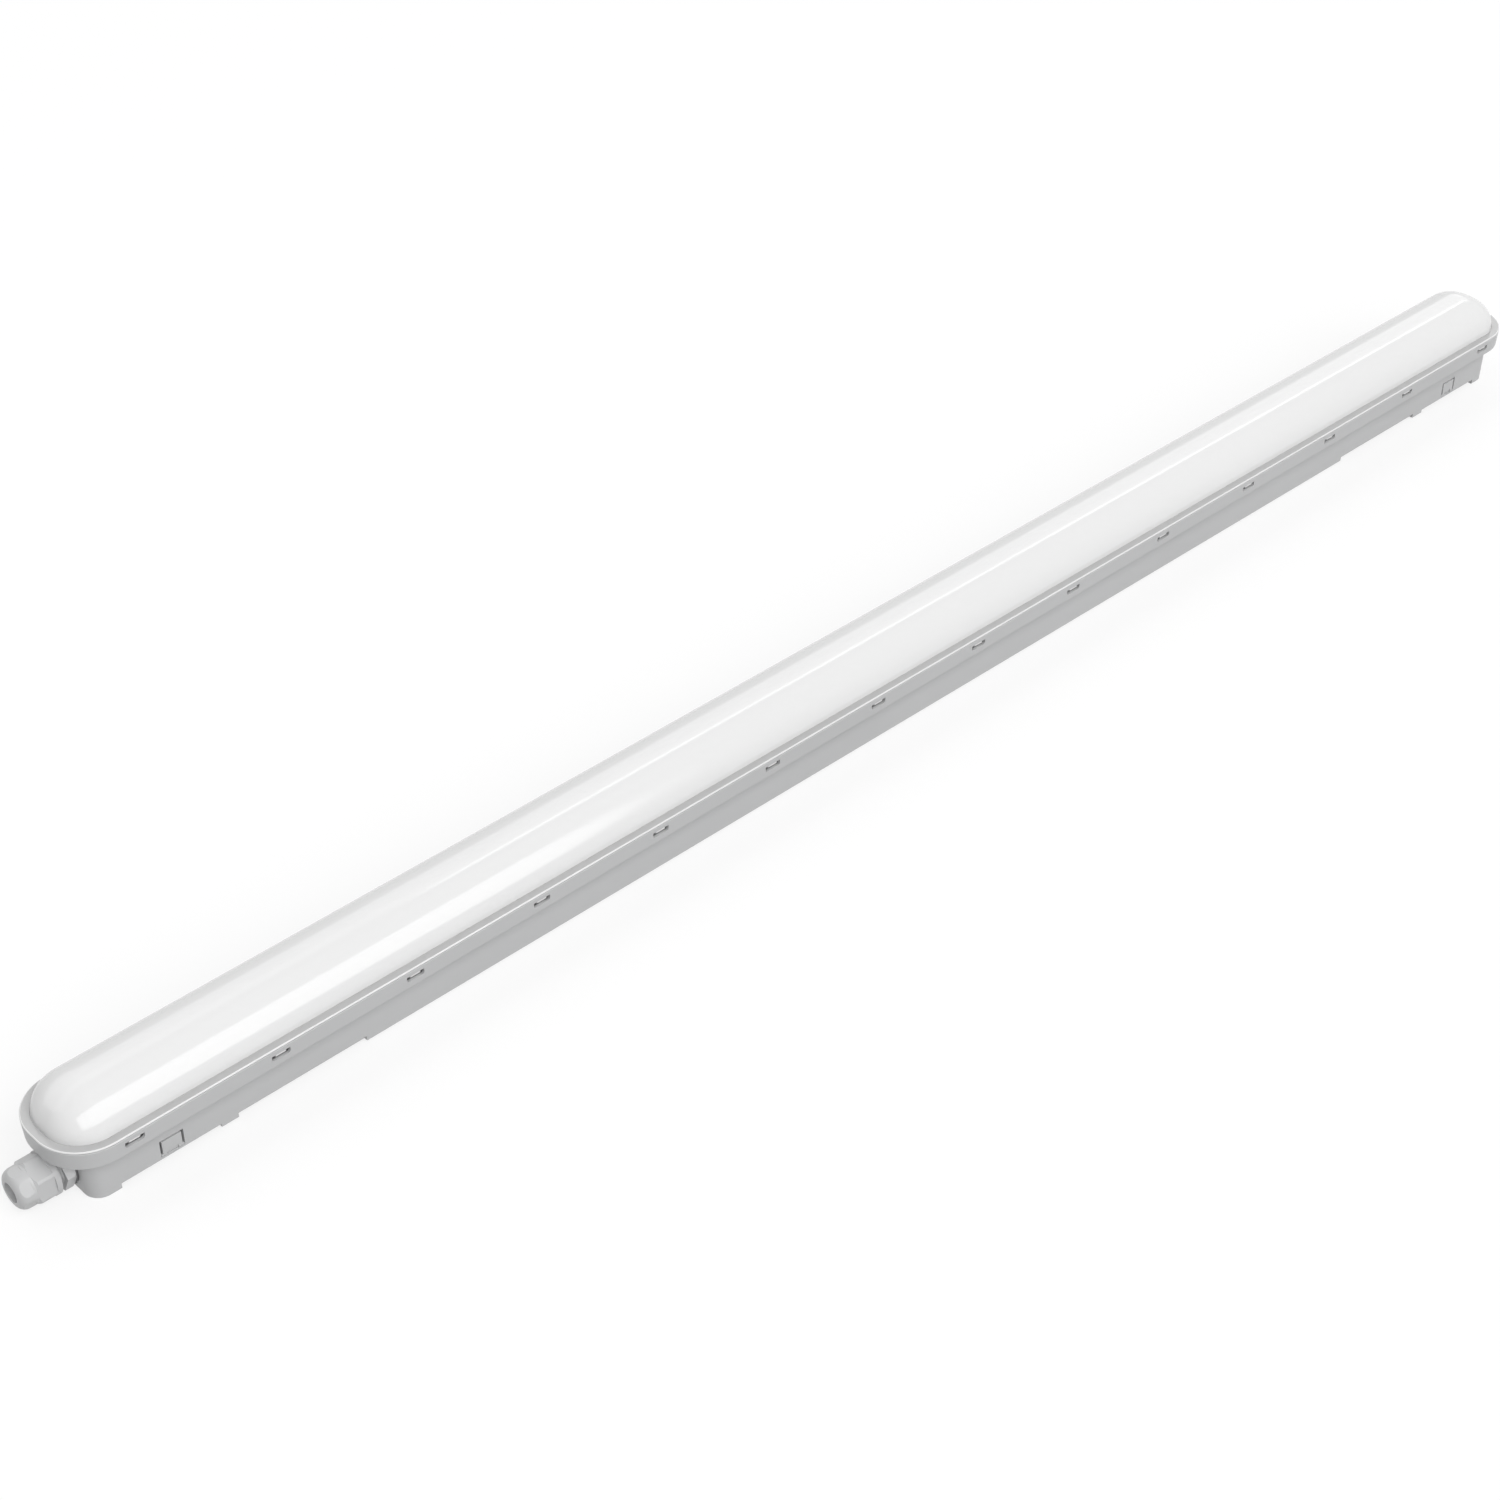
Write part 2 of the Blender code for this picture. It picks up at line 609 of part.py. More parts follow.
def arch_rings(inset, base, height):
    """Rings from the arch's foot to its crest. The half width, and the corners, shrink in the same share."""
    half_width = COVER_HALF_WIDTH - inset
    half_length = RIM_LENGTH / 2 - COVER_INSET - inset
    corner = RIM_CORNER - COVER_INSET - inset
    last = 1 - CREST_WIDTH / 2 / half_width
    rings = []
    for step in range(ARCH_STEPS + 1):
        share = last * (step / ARCH_STEPS) ** ARCH_STEP_POWER
        rise = height * (1 - (1 - share) ** ARCH_POWER) ** (1 / ARCH_POWER)
        width = half_width * (1 - share)
        length = half_length - half_width * share
        rings.append(outline(length, width, corner * (1 - share), base + rise))
    return rings


def hook_helper():
    """The legs that hang from the brim, each with a barb that snaps into a window, as one helper."""
    bm = bmesh.new()
    outside = BAND_INSIDE - SEAT_GAP
    inside = outside - HOOK_LEG
    tip = BAND_INSIDE + HOOK_REACH
    root = BRIM_LOW + BRIM_EDGE / 2
    top = WINDOW_TOP - SEAT_GAP
    low = top - HOOK_TIP
    foot = low - HOOK_RAMP
    section = (
        (inside, root), (outside, root), (outside, top), (tip, top), (tip, low), (outside, foot),
        (inside, foot),
    )
    half = HOOK_WIDTH / 2
    for x in window_places():
        for side in (-1, 1):
            start = [Vector((x - half, side * y, z)) for y, z in section]
            end = [Vector((x + half, side * y, z)) for y, z in section]
            add_prism(bm, start, end)
    bmesh.ops.recalc_face_normals(bm, faces=bm.faces)
    return helper("hook_helper", bm)


def brim_rings():
    """Rings of the cover's outer side from its lower edge, round the brim, to the dome's foot."""
    rings = [rim_ring(COVER_INSET, COVER_BOTTOM), rim_ring(COVER_INSET, BRIM_LOW), rim_ring(0, BRIM_LOW)]
    round_centre = BRIM_LOW + BRIM_EDGE - BRIM_ROUND
    for step in range(BRIM_STEPS + 1):
        angle = step / BRIM_STEPS * math.pi / 2
        inset = BRIM_ROUND * (1 - math.cos(angle))
        rings.append(rim_ring(inset, round_centre + BRIM_ROUND * math.sin(angle)))
    return rings


def make_cover():
    outer = brim_rings() + arch_rings(0, COVER_BASE, ARCH_HEIGHT)
    inner = [rim_ring(COVER_INSET + COVER_WALL, COVER_BOTTOM)]
    inner += arch_rings(COVER_WALL, COVER_BASE, ARCH_HEIGHT - COVER_WALL)
    look = material("opal plastic", OPAL, 0.25)
    obj = solid("cover", skin(outer[::-1] + inner), origin=(0, 0, COVER_BOTTOM), look=look, smooth_deg=40)
    combine(obj, hook_helper(), "UNION")


def make_gasket():
    outer = COVER_INSET - GASKET_OVERHANG
    inner = INNER_WALL_INSET - SEAT_GAP
    bottom = CHANNEL_BOTTOM + SEAT_GAP
    rings = [
        rim_ring(outer, bottom), rim_ring(outer, GASKET_TOP), rim_ring(inner, GASKET_TOP),
        rim_ring(inner, bottom),
    ]
    solid("gasket", skin(rings, looped=True), look=material("grey rubber", RUBBER_GREY, 0.8), smooth_deg=40)


def tab_face():
    """How far from the middle a tab's outer face lies: flush with the drafted wall at the tab's top."""
    share = (TAB_ROOT_HEIGHT + TAB_HEIGHT) / BODY_DEPTH
    return BODY_WIDTH / 2 - BODY_DRAFT * (1 - share)


def make_tabs(tab_notch):
    look = material("grey plastic", GREY, 0.5)
    face = tab_face()
    root = TAB_ROOT_HEIGHT + SEAT_GAP
    for number, (x, side) in enumerate(end_tab_places(), 1):
        back = face - TAB_THICKNESS
        axis = (x, side * (face - TAB_THICKNESS / 2), root + TAB_ROOT_BAR / 2)
        bar_half = TAB_WIDTH / 2 + TAB_GAP - SEAT_GAP
        half = TAB_WIDTH / 2
        section = (
            (-bar_half, root), (bar_half, root), (bar_half, root + TAB_ROOT_BAR), (half, root + TAB_ROOT_BAR),
            (half, root + TAB_HEIGHT), (-half, root + TAB_HEIGHT), (-half, root + TAB_ROOT_BAR),
            (-bar_half, root + TAB_ROOT_BAR),
        )
        bm = bmesh.new()
        start = [Vector((x + dx, side * back, z)) for dx, z in section]
        end = [Vector((x + dx, side * face, z)) for dx, z in section]
        add_prism(bm, start, end)
        obj = solid(f"spring_tab_{number}", bm, origin=axis, look=look)
        combine(obj, tab_notch, "DIFFERENCE")


def hexagon(flats, x, turn_deg):
    return ring_on_x((x, 0, GLAND_HEIGHT), flats / math.sqrt(3), 6, turn_deg)


def hexagon_helper(name, sections, turn_deg):
    """A six-sided bar with one (x, width across flats) pair for each section."""
    bm = skin([hexagon(flats, x, turn_deg) for x, flats in sections])
    return helper(name, bm)


def make_gland_body():
    corner = GLAND_FLATS / math.sqrt(3) + SEAT_GAP
    inside = GLAND_WALL_FACE + SPIGOT_REACH
    barrel_end = NUT_HEX_FRONT + BARREL_PAST_HEX
    profile = [
        (barrel_end, GLAND_BORE), (barrel_end, BARREL_RADIUS), (HEX_FRONT, BARREL_RADIUS),
        (HEX_FRONT, corner - HEX_CHAMFER), (HEX_FRONT + HEX_CHAMFER, corner),
        (HEX_BACK - HEX_BACK_CHAMFER, corner), (HEX_BACK, corner - HEX_BACK_CHAMFER),
        (HEX_BACK, SPIGOT_RADIUS), (inside, SPIGOT_RADIUS), (inside, GLAND_BORE),
    ]
    look = material("gland plastic", GLAND_GREY, 0.5)
    origin = (HEX_BACK, 0, GLAND_HEIGHT)
    obj = solid("gland_body", turned(profile), origin=origin, look=look, smooth_deg=30)
    reach = OVERRUN + SPIGOT_REACH
    sections = ((barrel_end - OVERRUN, GLAND_FLATS), (GLAND_WALL_FACE + reach, GLAND_FLATS))
    combine(obj, hexagon_helper("body_hex_helper", sections, BODY_HEX_TURN_DEG), "INTERSECT")


def make_gland_washer():
    outer, inner = WASHER_RADIUS, SPIGOT_RADIUS + SEAT_GAP
    front = WASHER_FACE - WASHER_THICKNESS
    profile = [(front, inner), (front, outer), (WASHER_FACE, outer), (WASHER_FACE, inner)]
    look = material("grey rubber", RUBBER_GREY, 0.8)
    solid("gland_washer", turned(profile), origin=(WASHER_FACE, 0, GLAND_HEIGHT), look=look, smooth_deg=30)


def nut_cavity():
    """The nut's bore: the mouth, the seat that presses the seal, and the threaded part, front to back."""
    seat = NUT_FRONT + MOUTH_WALL
    thread = BARREL_RADIUS + THREAD_CLEARANCE
    slope = thread - MOUTH_RADIUS
    return [(seat, MOUTH_RADIUS), (seat + slope, thread), (NUT_BACK, thread)]


def make_gland_nut():
    dome = GLAND_FLATS / 2
    corner = GLAND_CORNER_RADIUS
    rise = corner - dome
    profile = [(NUT_FRONT + MOUTH_ROUND, MOUTH_RADIUS), (NUT_FRONT, MOUTH_RADIUS + MOUTH_ROUND)]
    for step in range(DOME_STEPS + 1):
        angle = step / DOME_STEPS * math.pi / 2
        x = NUT_FRONT + DOME_ROUND * (1 - math.cos(angle))
        profile.append((x, dome - DOME_ROUND * (1 - math.sin(angle))))
    profile += [(NUT_HEX_FRONT, dome), (NUT_HEX_FRONT + rise, corner), (NUT_BACK, corner)]
    profile += nut_cavity()[::-1]
    look = material("gland plastic", GLAND_GREY, 0.5)
    origin = (NUT_BACK, 0, GLAND_HEIGHT)
    obj = solid("gland_nut", turned(profile), origin=origin, look=look, smooth_deg=30)
    wide = 2 * GLAND_FLATS
    facet = 2 * (dome - FACET_DEPTH)
    front = NUT_FRONT - OVERRUN
    back = NUT_BACK + OVERRUN
    start = NUT_HEX_FRONT - FACET_FROM_HEX
    lean = 2 * math.tan(math.radians(FACET_LEAN_DEG)) * (start - front)
    sections = ((front, facet - lean), (start, facet), (start, wide), (back, wide))
    combine(obj, hexagon_helper("facet_helper", sections, NUT_TURN_DEG + FLAT_TURN_DEG), "INTERSECT")
    sections = (
        (front, wide), (NUT_HEX_FRONT - OVERRUN, wide), (NUT_HEX_FRONT - OVERRUN, GLAND_FLATS),
        (NUT_HEX_BACK, GLAND_FLATS), (NUT_HEX_BACK, wide), (back, wide),
    )
    combine(obj, hexagon_helper("nut_hex_helper", sections, NUT_TURN_DEG), "INTERSECT")


def make_gland_seal():
    """A rubber seal that sits in the nut's cone, with a round hole for the cable."""
    seat = NUT_FRONT + MOUTH_WALL
    front = seat + SEAL_CLEARANCE
    inner_end = front + SEAL_LENGTH
    mouth = MOUTH_RADIUS - SEAL_CLEARANCE
    body = GLAND_BORE - SEAL_CLEARANCE
    profile = [
        (front, SEAL_BORE), (front, mouth), (front + body - mouth, body), (inner_end, body),
        (inner_end, SEAL_BORE),
    ]
    look = material("black rubber", BLACK, 0.8)
    origin = (front, 0, GLAND_HEIGHT)
    solid("gland_seal", turned(profile), origin=origin, look=look, smooth_deg=30)


def tray_half_width():
    return TROUGH_HALF_WIDTH - TRAY_SIDE_GAP


def lead_hole():
    """Where the leads to the boards pass the tray, beside the middle board and short of its jumper."""
    x = TRAY_MIDDLE + BOARD_LENGTH / 2 - LINK_REACH - PLUG_FROM_LINK - PLUG_LENGTH / 2
    return x, (BOARD_WIDTH / 2 + tray_half_width() - TRAY_THICKNESS) / 2


def earth_place():
    """The earth screw, through the tray beside a board, past the terminal block."""
    x = terminal_middle() + TERMINAL_LENGTH / 2 + 2 * WIRE_BEND
    return x, (BOARD_WIDTH / 2 + tray_half_width() - TRAY_THICKNESS) / 2


def terminal_middle():
    return -(TROUGH_HALF_LENGTH - TERMINAL_FROM_END)


def driver_screw_places():
    reach = DRIVER_LENGTH / 2 + DRIVER_EAR_LENGTH / 2 + DRIVER_ROUND
    side = BOARD_WIDTH / 2 + SCREW_HEAD_RADIUS + SEAT_GAP
    return [(TRAY_MIDDLE - reach, -side), (TRAY_MIDDLE + reach, -side)]


def make_tray():
    half = tray_half_width()
    inside = half - TRAY_THICKNESS
    low = TRAY_BOTTOM - TRAY_FLANGE
    section = (
        (-half, low), (-half, TRAY_TOP), (half, TRAY_TOP), (half, low), (inside, low),
        (inside, TRAY_BOTTOM), (-inside, TRAY_BOTTOM), (-inside, low),
    )
    bm = bmesh.new()
    start = [Vector((TRAY_START, y, z)) for y, z in section]
    end = [Vector((TRAY_END, y, z)) for y, z in section]
    add_prism(bm, start, end)
    obj = solid("gear_tray", bm, look=material("white enamel", WHITE_ENAMEL, 0.35))
    bm = bmesh.new()
    bottom, top = TRAY_BOTTOM - OVERRUN, TRAY_TOP + OVERRUN
    hole = SCREW_SHANK_RADIUS + SEAT_GAP
    for place in boss_places() + driver_screw_places() + [earth_place()]:
        add_post(bm, place, hole, bottom, top)
    add_post(bm, lead_hole(), GROMMET_RADIUS, bottom, top, GROMMET_STEPS)
    combine(obj, helper("tray_hole_cutter", bm), "DIFFERENCE")


def led_board(number, centre):
    """One board: a plate whose top is a grid, with the light emitters raised from it."""
    half_length, half_width, half_led = BOARD_LENGTH / 2, BOARD_WIDTH / 2, LED_SIZE / 2
    pitch = BOARD_LENGTH / LED_COUNT
    xs = [centre - half_length]
    for i in range(LED_COUNT):
        middle = centre - half_length + (i + 0.5) * pitch
        xs += [middle - half_led, middle + half_led]
    xs.append(centre + half_length)
    ys = (-half_width, -half_led, half_led, half_width)
    bm = bmesh.new()
    top = [[bm.verts.new((x, y, BOARD_TOP)) for y in ys] for x in xs]
    emitters = []
    for i in range(len(xs) - 1):
        for j in range(len(ys) - 1):
            face = bm.faces.new((top[i][j], top[i + 1][j], top[i + 1][j + 1], top[i][j + 1]))
            if j == 1 and i % 2:
                emitters.append(face)
    rim = [row[0] for row in top] + top[-1][1:-1] + [row[-1] for row in top[::-1]] + top[0][-2:0:-1]
    below = [bm.verts.new((v.co.x, v.co.y, BOARD_BOTTOM)) for v in rim]
    count = len(rim)
    for i in range(count):
        bm.faces.new((rim[i], below[i], below[(i + 1) % count], rim[(i + 1) % count]))
    bm.faces.new(below[::-1])
    raised = bmesh.ops.extrude_discrete_faces(bm, faces=emitters)["faces"]
    verts = {v for face in raised for v in face.verts}
    bmesh.ops.translate(bm, verts=list(verts), vec=(0, 0, LED_HEIGHT))
    solid(f"led_board_{number}", bm, look=material("board white", BOARD_WHITE, 0.4))


def board_middle(number):
    return TRAY_MIDDLE + (number - (BOARD_COUNT + 1) / 2) * BOARD_PITCH


def make_boards():
    for number in range(1, BOARD_COUNT + 1):
        led_board(number, board_middle(number))
    for number in range(1, BOARD_COUNT):
        make_board_link(number, board_middle(number) + BOARD_PITCH / 2)


def link_side():
    return (LED_SIZE / 2 + BOARD_WIDTH / 2) / 2


def make_board_link(number, x):
    """A jumper that carries the current from one board to the next: two plugs and a flat strip."""
    bottom = BOARD_TOP + SEAT_GAP
    top = bottom + LINK_HEIGHT
    half = BOARD_GAP / 2
    y = link_side()
    low_y, high_y = y - LINK_WIDTH / 2, y + LINK_WIDTH / 2
    strip = bottom + LINK_HEIGHT / 2
    section = (
        (x - half - LINK_REACH, bottom), (x - half, bottom), (x - half, strip), (x + half, strip),
        (x + half, bottom), (x + half + LINK_REACH, bottom), (x + half + LINK_REACH, top), (x + half, top),
        (x + half, strip + LINK_RIBBON), (x - half, strip + LINK_RIBBON), (x - half, top),
        (x - half - LINK_REACH, top),
    )
    bm = bmesh.new()
    start = [Vector((px, low_y, pz)) for px, pz in section]
    end = [Vector((px, high_y, pz)) for px, pz in section]
    add_prism(bm, start, end)
    solid(f"board_link_{number}", bm, look=material("board white", BOARD_WHITE, 0.4))


def make_screw(name, place, seat, look, length=SCREW_LENGTH):
    """A pan head screw with a round recess in its head, pointing down from its seat."""
    head = seat + SCREW_HEAD_HEIGHT
    edge = SCREW_HEAD_HEIGHT / 3
    profile = (
        (SCREW_DRIVE_RADIUS, head - SCREW_DRIVE_DEPTH), (SCREW_DRIVE_RADIUS, head),
        (SCREW_HEAD_RADIUS - edge, head), (SCREW_HEAD_RADIUS, head - edge), (SCREW_HEAD_RADIUS, seat),
        (SCREW_SHANK_RADIUS, seat), (SCREW_SHANK_RADIUS, seat - length + SCREW_SHANK_RADIUS),
        (SCREW_SHANK_RADIUS / 2, seat - length),
    )
    solid(name, turned_on_z(profile, place), origin=(*place, seat), look=look, smooth_deg=30)


def make_tray_screws():
    look = material("steel", STEEL, 0.3, 1.0)
    seat = TRAY_TOP + SEAT_GAP
    for number, place in enumerate(boss_places(), 1):
        make_screw(f"tray_screw_{number}", place, seat, look)
    for number, place in enumerate(driver_screw_places(), 1):
        depth = TRAY_THICKNESS + DRIVER_EAR_THICKNESS + 4 * SEAT_GAP + SCREW_SHANK_RADIUS
        make_screw(f"driver_screw_{number}", place, seat, look, depth)
    depth = TRAY_THICKNESS + EYELET_THICKNESS + 4 * SEAT_GAP + SCREW_SHANK_RADIUS
    make_screw("earth_screw", earth_place(), seat, look, depth)


def rounded_block(low, high, edge):
    """A box whose four edges along X are rounded."""
    bm = box(low, high)
    along = [e for e in bm.edges if abs(e.verts[0].co.x - e.verts[1].co.x) > edge]
    bmesh.ops.bevel(bm, geom=along, offset=edge, segments=2, affect="EDGES", profile=0.5)
    return bm


def make_driver():
    """The driver hangs under the tray by an ear at each end; a lid closes it from below."""
    look = material("driver case", WHITE_ENAMEL, 0.45)
    half, wide = DRIVER_LENGTH / 2, DRIVER_WIDTH / 2
    top = TRAY_BOTTOM - SEAT_GAP
    bottom = top - DRIVER_HEIGHT
    low = (TRAY_MIDDLE - half, -wide, bottom)
    high = (TRAY_MIDDLE + half, wide, top)
    obj = solid("driver_case", rounded_block(low, high, DRIVER_ROUND), look=look)
    bm = bmesh.new()
    ear = DRIVER_EAR_WIDTH / 2
    middle = driver_screw_places()[0][1]
    reach = half + DRIVER_EAR_LENGTH + DRIVER_ROUND
    add_box(
        bm,
        (TRAY_MIDDLE - reach, middle - ear / 2, top - DRIVER_EAR_THICKNESS),
        (TRAY_MIDDLE + reach, middle + ear / 2, top - SEAT_GAP / 2),
    )
    combine(obj, helper("driver_ear_helper", bm), "UNION")
    bm = bmesh.new()
    for place in driver_screw_places():
        hole = SCREW_SHANK_RADIUS + SEAT_GAP
        add_post(bm, place, hole, top - DRIVER_EAR_THICKNESS - OVERRUN, top + OVERRUN)
    combine(obj, helper("driver_hole_cutter", bm), "DIFFERENCE")
    low = (TRAY_MIDDLE - half, -wide, bottom - SEAT_GAP - DRIVER_LID_HEIGHT)
    high = (TRAY_MIDDLE + half, wide, bottom - SEAT_GAP)
    solid("driver_lid", rounded_block(low, high, DRIVER_ROUND / 2), look=look)


def wire_lane(pole):
    """How far from the middle line a mains wire lies on the floor, clear of the bosses."""
    return -(BOSS_RADIUS + SEAT_GAP + WIRE_SPACING) + pole * WIRE_SPACING


def terminal_hole_height():
    return FLOOR_TOP + SEAT_GAP + TERMINAL_HEIGHT / 2


def make_terminal_block():
    middle = terminal_middle()
    half, wide = TERMINAL_LENGTH / 2, TERMINAL_WIDTH / 2
    floor = FLOOR_TOP + SEAT_GAP
    top = floor + TERMINAL_HEIGHT
    bm = box((middle - half, -wide, floor), (middle + half, wide, top))
    long_edges = [e for e in bm.edges if min(e.verts[0].co.z, e.verts[1].co.z) > floor]
    bmesh.ops.bevel(bm, geom=long_edges, offset=OVERRUN, segments=1, affect="EDGES", profile=0.5)
    obj = solid("terminal_block", bm, look=material("board white", BOARD_WHITE, 0.4))
    bm = bmesh.new()
    reach, side = half + TERMINAL_BASE_REACH, wide - TERMINAL_BASE
    add_box(bm, (middle - reach, -side, floor), (middle + half / 2, side, floor + TERMINAL_BASE))
    combine(obj, helper("terminal_base_helper", bm), "UNION")
    bm = bmesh.new()
    for pole in TERMINAL_POLES:
        for end in (-1, 1):
            outer = (middle + end * (half + OVERRUN), pole * POLE_PITCH, terminal_hole_height())
            inner = (middle + end * (half - TERMINAL_HOLE_DEPTH), pole * POLE_PITCH, terminal_hole_height())
            start = ring_on_x(outer, TERMINAL_HOLE_RADIUS, TERMINAL_HOLE_STEPS)
            add_prism(bm, start, ring_on_x(inner, TERMINAL_HOLE_RADIUS, TERMINAL_HOLE_STEPS))
    bmesh.ops.recalc_face_normals(bm, faces=bm.faces)
    combine(obj, helper("terminal_hole_cutter", bm), "DIFFERENCE")


def bent_path(points, bend):
    """The straight runs between the points, with every corner rounded by a short curve."""
    path = [points[0]]
    for before, corner, after in zip(points, points[1:], points[2:]):
        back, ahead = before - corner, after - corner
        start = corner + back.normalized() * min(bend, back.length * BEND_SHARE)
        end = corner + ahead.normalized() * min(bend, ahead.length * BEND_SHARE)
        for step in range(BEND_STEPS + 1):
            t = step / BEND_STEPS
            path.append((1 - t) ** 2 * start + 2 * t * (1 - t) * corner + t**2 * end)
    path.append(points[-1])
    return path


def tube(name, points, radius, look, bend=WIRE_BEND):
    """A wire as a curve object with filled ends."""
    curve = bpy.data.curves.new(name, "CURVE")
    curve.dimensions = "3D"
    curve.bevel_depth = radius
    curve.bevel_resolution = 1
    curve.use_fill_caps = True
    spline = curve.splines.new("POLY")
    path = bent_path(points, bend)
    spline.points.add(len(path) - 1)
    for target, point in zip(spline.points, path):
        target.co = (*point, 1)
    obj = bpy.data.objects.new(name, curve)
    curve.materials.append(look)
    bpy.context.scene.collection.objects.link(obj)
    return obj


def mains_route(pole):
    """From a hole of the terminal block, down to the floor, along it, and up into the driver's end."""
    start_x = terminal_middle() + TERMINAL_LENGTH / 2 - TERMINAL_HOLE_DEPTH / 2
    side, hole_z = pole * POLE_PITCH, terminal_hole_height()
    rest_z = FLOOR_TOP + SEAT_GAP + WIRE_RADIUS
    end_x = TRAY_MIDDLE - DRIVER_LENGTH / 2 - SEAT_GAP
    driver_z = TRAY_BOTTOM - SEAT_GAP - DRIVER_HEIGHT / 2
    lane = wire_lane(pole)
    leave_x = start_x + TERMINAL_HOLE_DEPTH
    return [
        Vector((start_x, side, hole_z)), Vector((leave_x, side, hole_z)),
        Vector((leave_x + 2 * WIRE_BEND, lane, rest_z)), Vector((leave_x + 4 * WIRE_BEND, lane, rest_z)),
        Vector((end_x - 4 * WIRE_BEND, lane, rest_z)), Vector((end_x - 3 * WIRE_BEND, lane, rest_z)),
        Vector((end_x - WIRE_BEND, lane, driver_z)), Vector((end_x, lane, driver_z)),
    ]


def make_mains_wires():
    live, neutral = TERMINAL_POLES[:2]
    tube("live_wire", mains_route(live), WIRE_RADIUS, material("brown sleeve", BROWN, 0.4))
    tube("neutral_wire", mains_route(neutral), WIRE_RADIUS, material("blue sleeve", BLUE, 0.4))


def make_earth_wire():
    """From the terminal block up to an eyelet under the tray, where the earth screw holds it."""
    look = material("earth sleeve", EARTH_GREEN, 0.4)
    side, hole_z = TERMINAL_POLES[2] * POLE_PITCH, terminal_hole_height()
    start_x = terminal_middle() + TERMINAL_LENGTH / 2 - TERMINAL_HOLE_DEPTH / 2
    leave_x = start_x + TERMINAL_HOLE_DEPTH
    x, y = earth_place()
    eyelet_top = TRAY_BOTTOM - SEAT_GAP
    eyelet_low = eyelet_top - EYELET_THICKNESS
    eyelet_bore = SCREW_SHANK_RADIUS + SEAT_GAP
    end_z = eyelet_low - WIRE_RADIUS / 2
    end = Vector((x - (EYELET_RADIUS + eyelet_bore) / 2, y, end_z))
    points = [
        Vector((start_x, side, hole_z)), Vector((leave_x, side, hole_z)),
        Vector(((leave_x + x) / 2, (side + y) / 2, (hole_z + end_z) / 2)),
        Vector((end.x - WIRE_BEND, y, end_z)), end,
    ]
    wire = tube("earth_wire_helper", points, WIRE_RADIUS, look)
    graph = bpy.context.evaluated_depsgraph_get()
    mesh = bpy.data.meshes.new_from_object(wire.evaluated_get(graph))
    bpy.data.objects.remove(wire, do_unlink=True)
    mesh.name = "earth_wire"
    bm = bmesh.new()
    bm.from_mesh(mesh)
    bmesh.ops.remove_doubles(bm, verts=bm.verts, dist=SEAT_GAP / 100)
    obj = solid("earth_wire", bm, look=look, smooth_deg=40)
    profile = (
        (eyelet_bore, eyelet_low), (EYELET_RADIUS, eyelet_low), (EYELET_RADIUS, eyelet_top),
        (eyelet_bore, eyelet_top),
    )
    combine(obj, helper("eyelet_helper", turned_on_z(profile, (x, y), looped=True)), "UNION")


def make_leads():
    """Two leads from the driver, up through the grommet, to a plug on the middle board's edge."""
    x, y = lead_hole()
    start_x = TRAY_MIDDLE + DRIVER_LENGTH / 2 + SEAT_GAP
    driver_z = TRAY_BOTTOM - SEAT_GAP - DRIVER_HEIGHT / 2
    over = BOARD_TOP + SEAT_GAP + LINK_HEIGHT / 2
    plug_edge = BOARD_WIDTH / 2 + SEAT_GAP
    for name, colour, side in (("red_lead", RED, -1), ("black_lead", BLACK, 1)):
        shift = side * (GROMMET_RADIUS - GROMMET_WALL) / 2
        look = material(name.split("_")[0] + " sleeve", colour, 0.4)
        run_z = driver_z - side * LEAD_SPACING / 2
        points = [
            Vector((start_x, y, run_z)), Vector((x + shift, y, run_z)),
            Vector((x + shift, y, over)), Vector((x + shift, plug_edge, over)),
        ]
        tube(name, points, LEAD_RADIUS, look, LEAD_BEND)
    bottom = BOARD_TOP + SEAT_GAP
    half = PLUG_LENGTH / 2
    low = (x - half, link_side(), bottom)
    high = (x + half, plug_edge - SEAT_GAP, bottom + LINK_HEIGHT)
    solid("lead_plug", box(low, high), look=material("board white", BOARD_WHITE, 0.4))


def make_grommet():
    x, y = lead_hole()
    outer = GROMMET_RADIUS - SEAT_GAP
    inner = outer - GROMMET_WALL
    flange = GROMMET_RADIUS + GROMMET_FLANGE
    low, high = TRAY_BOTTOM - SEAT_GAP, TRAY_TOP + SEAT_GAP
    profile = (
        (inner, low - GROMMET_FLANGE), (flange, low - GROMMET_FLANGE), (flange, low), (outer, low),
        (outer, high), (flange, high), (flange, high + GROMMET_FLANGE), (inner, high + GROMMET_FLANGE),
    )
    bm = turned_on_z(profile, (x, y), GROMMET_STEPS, looped=True)
    solid("grommet", bm, look=material("black rubber", BLACK, 0.8), smooth_deg=40)


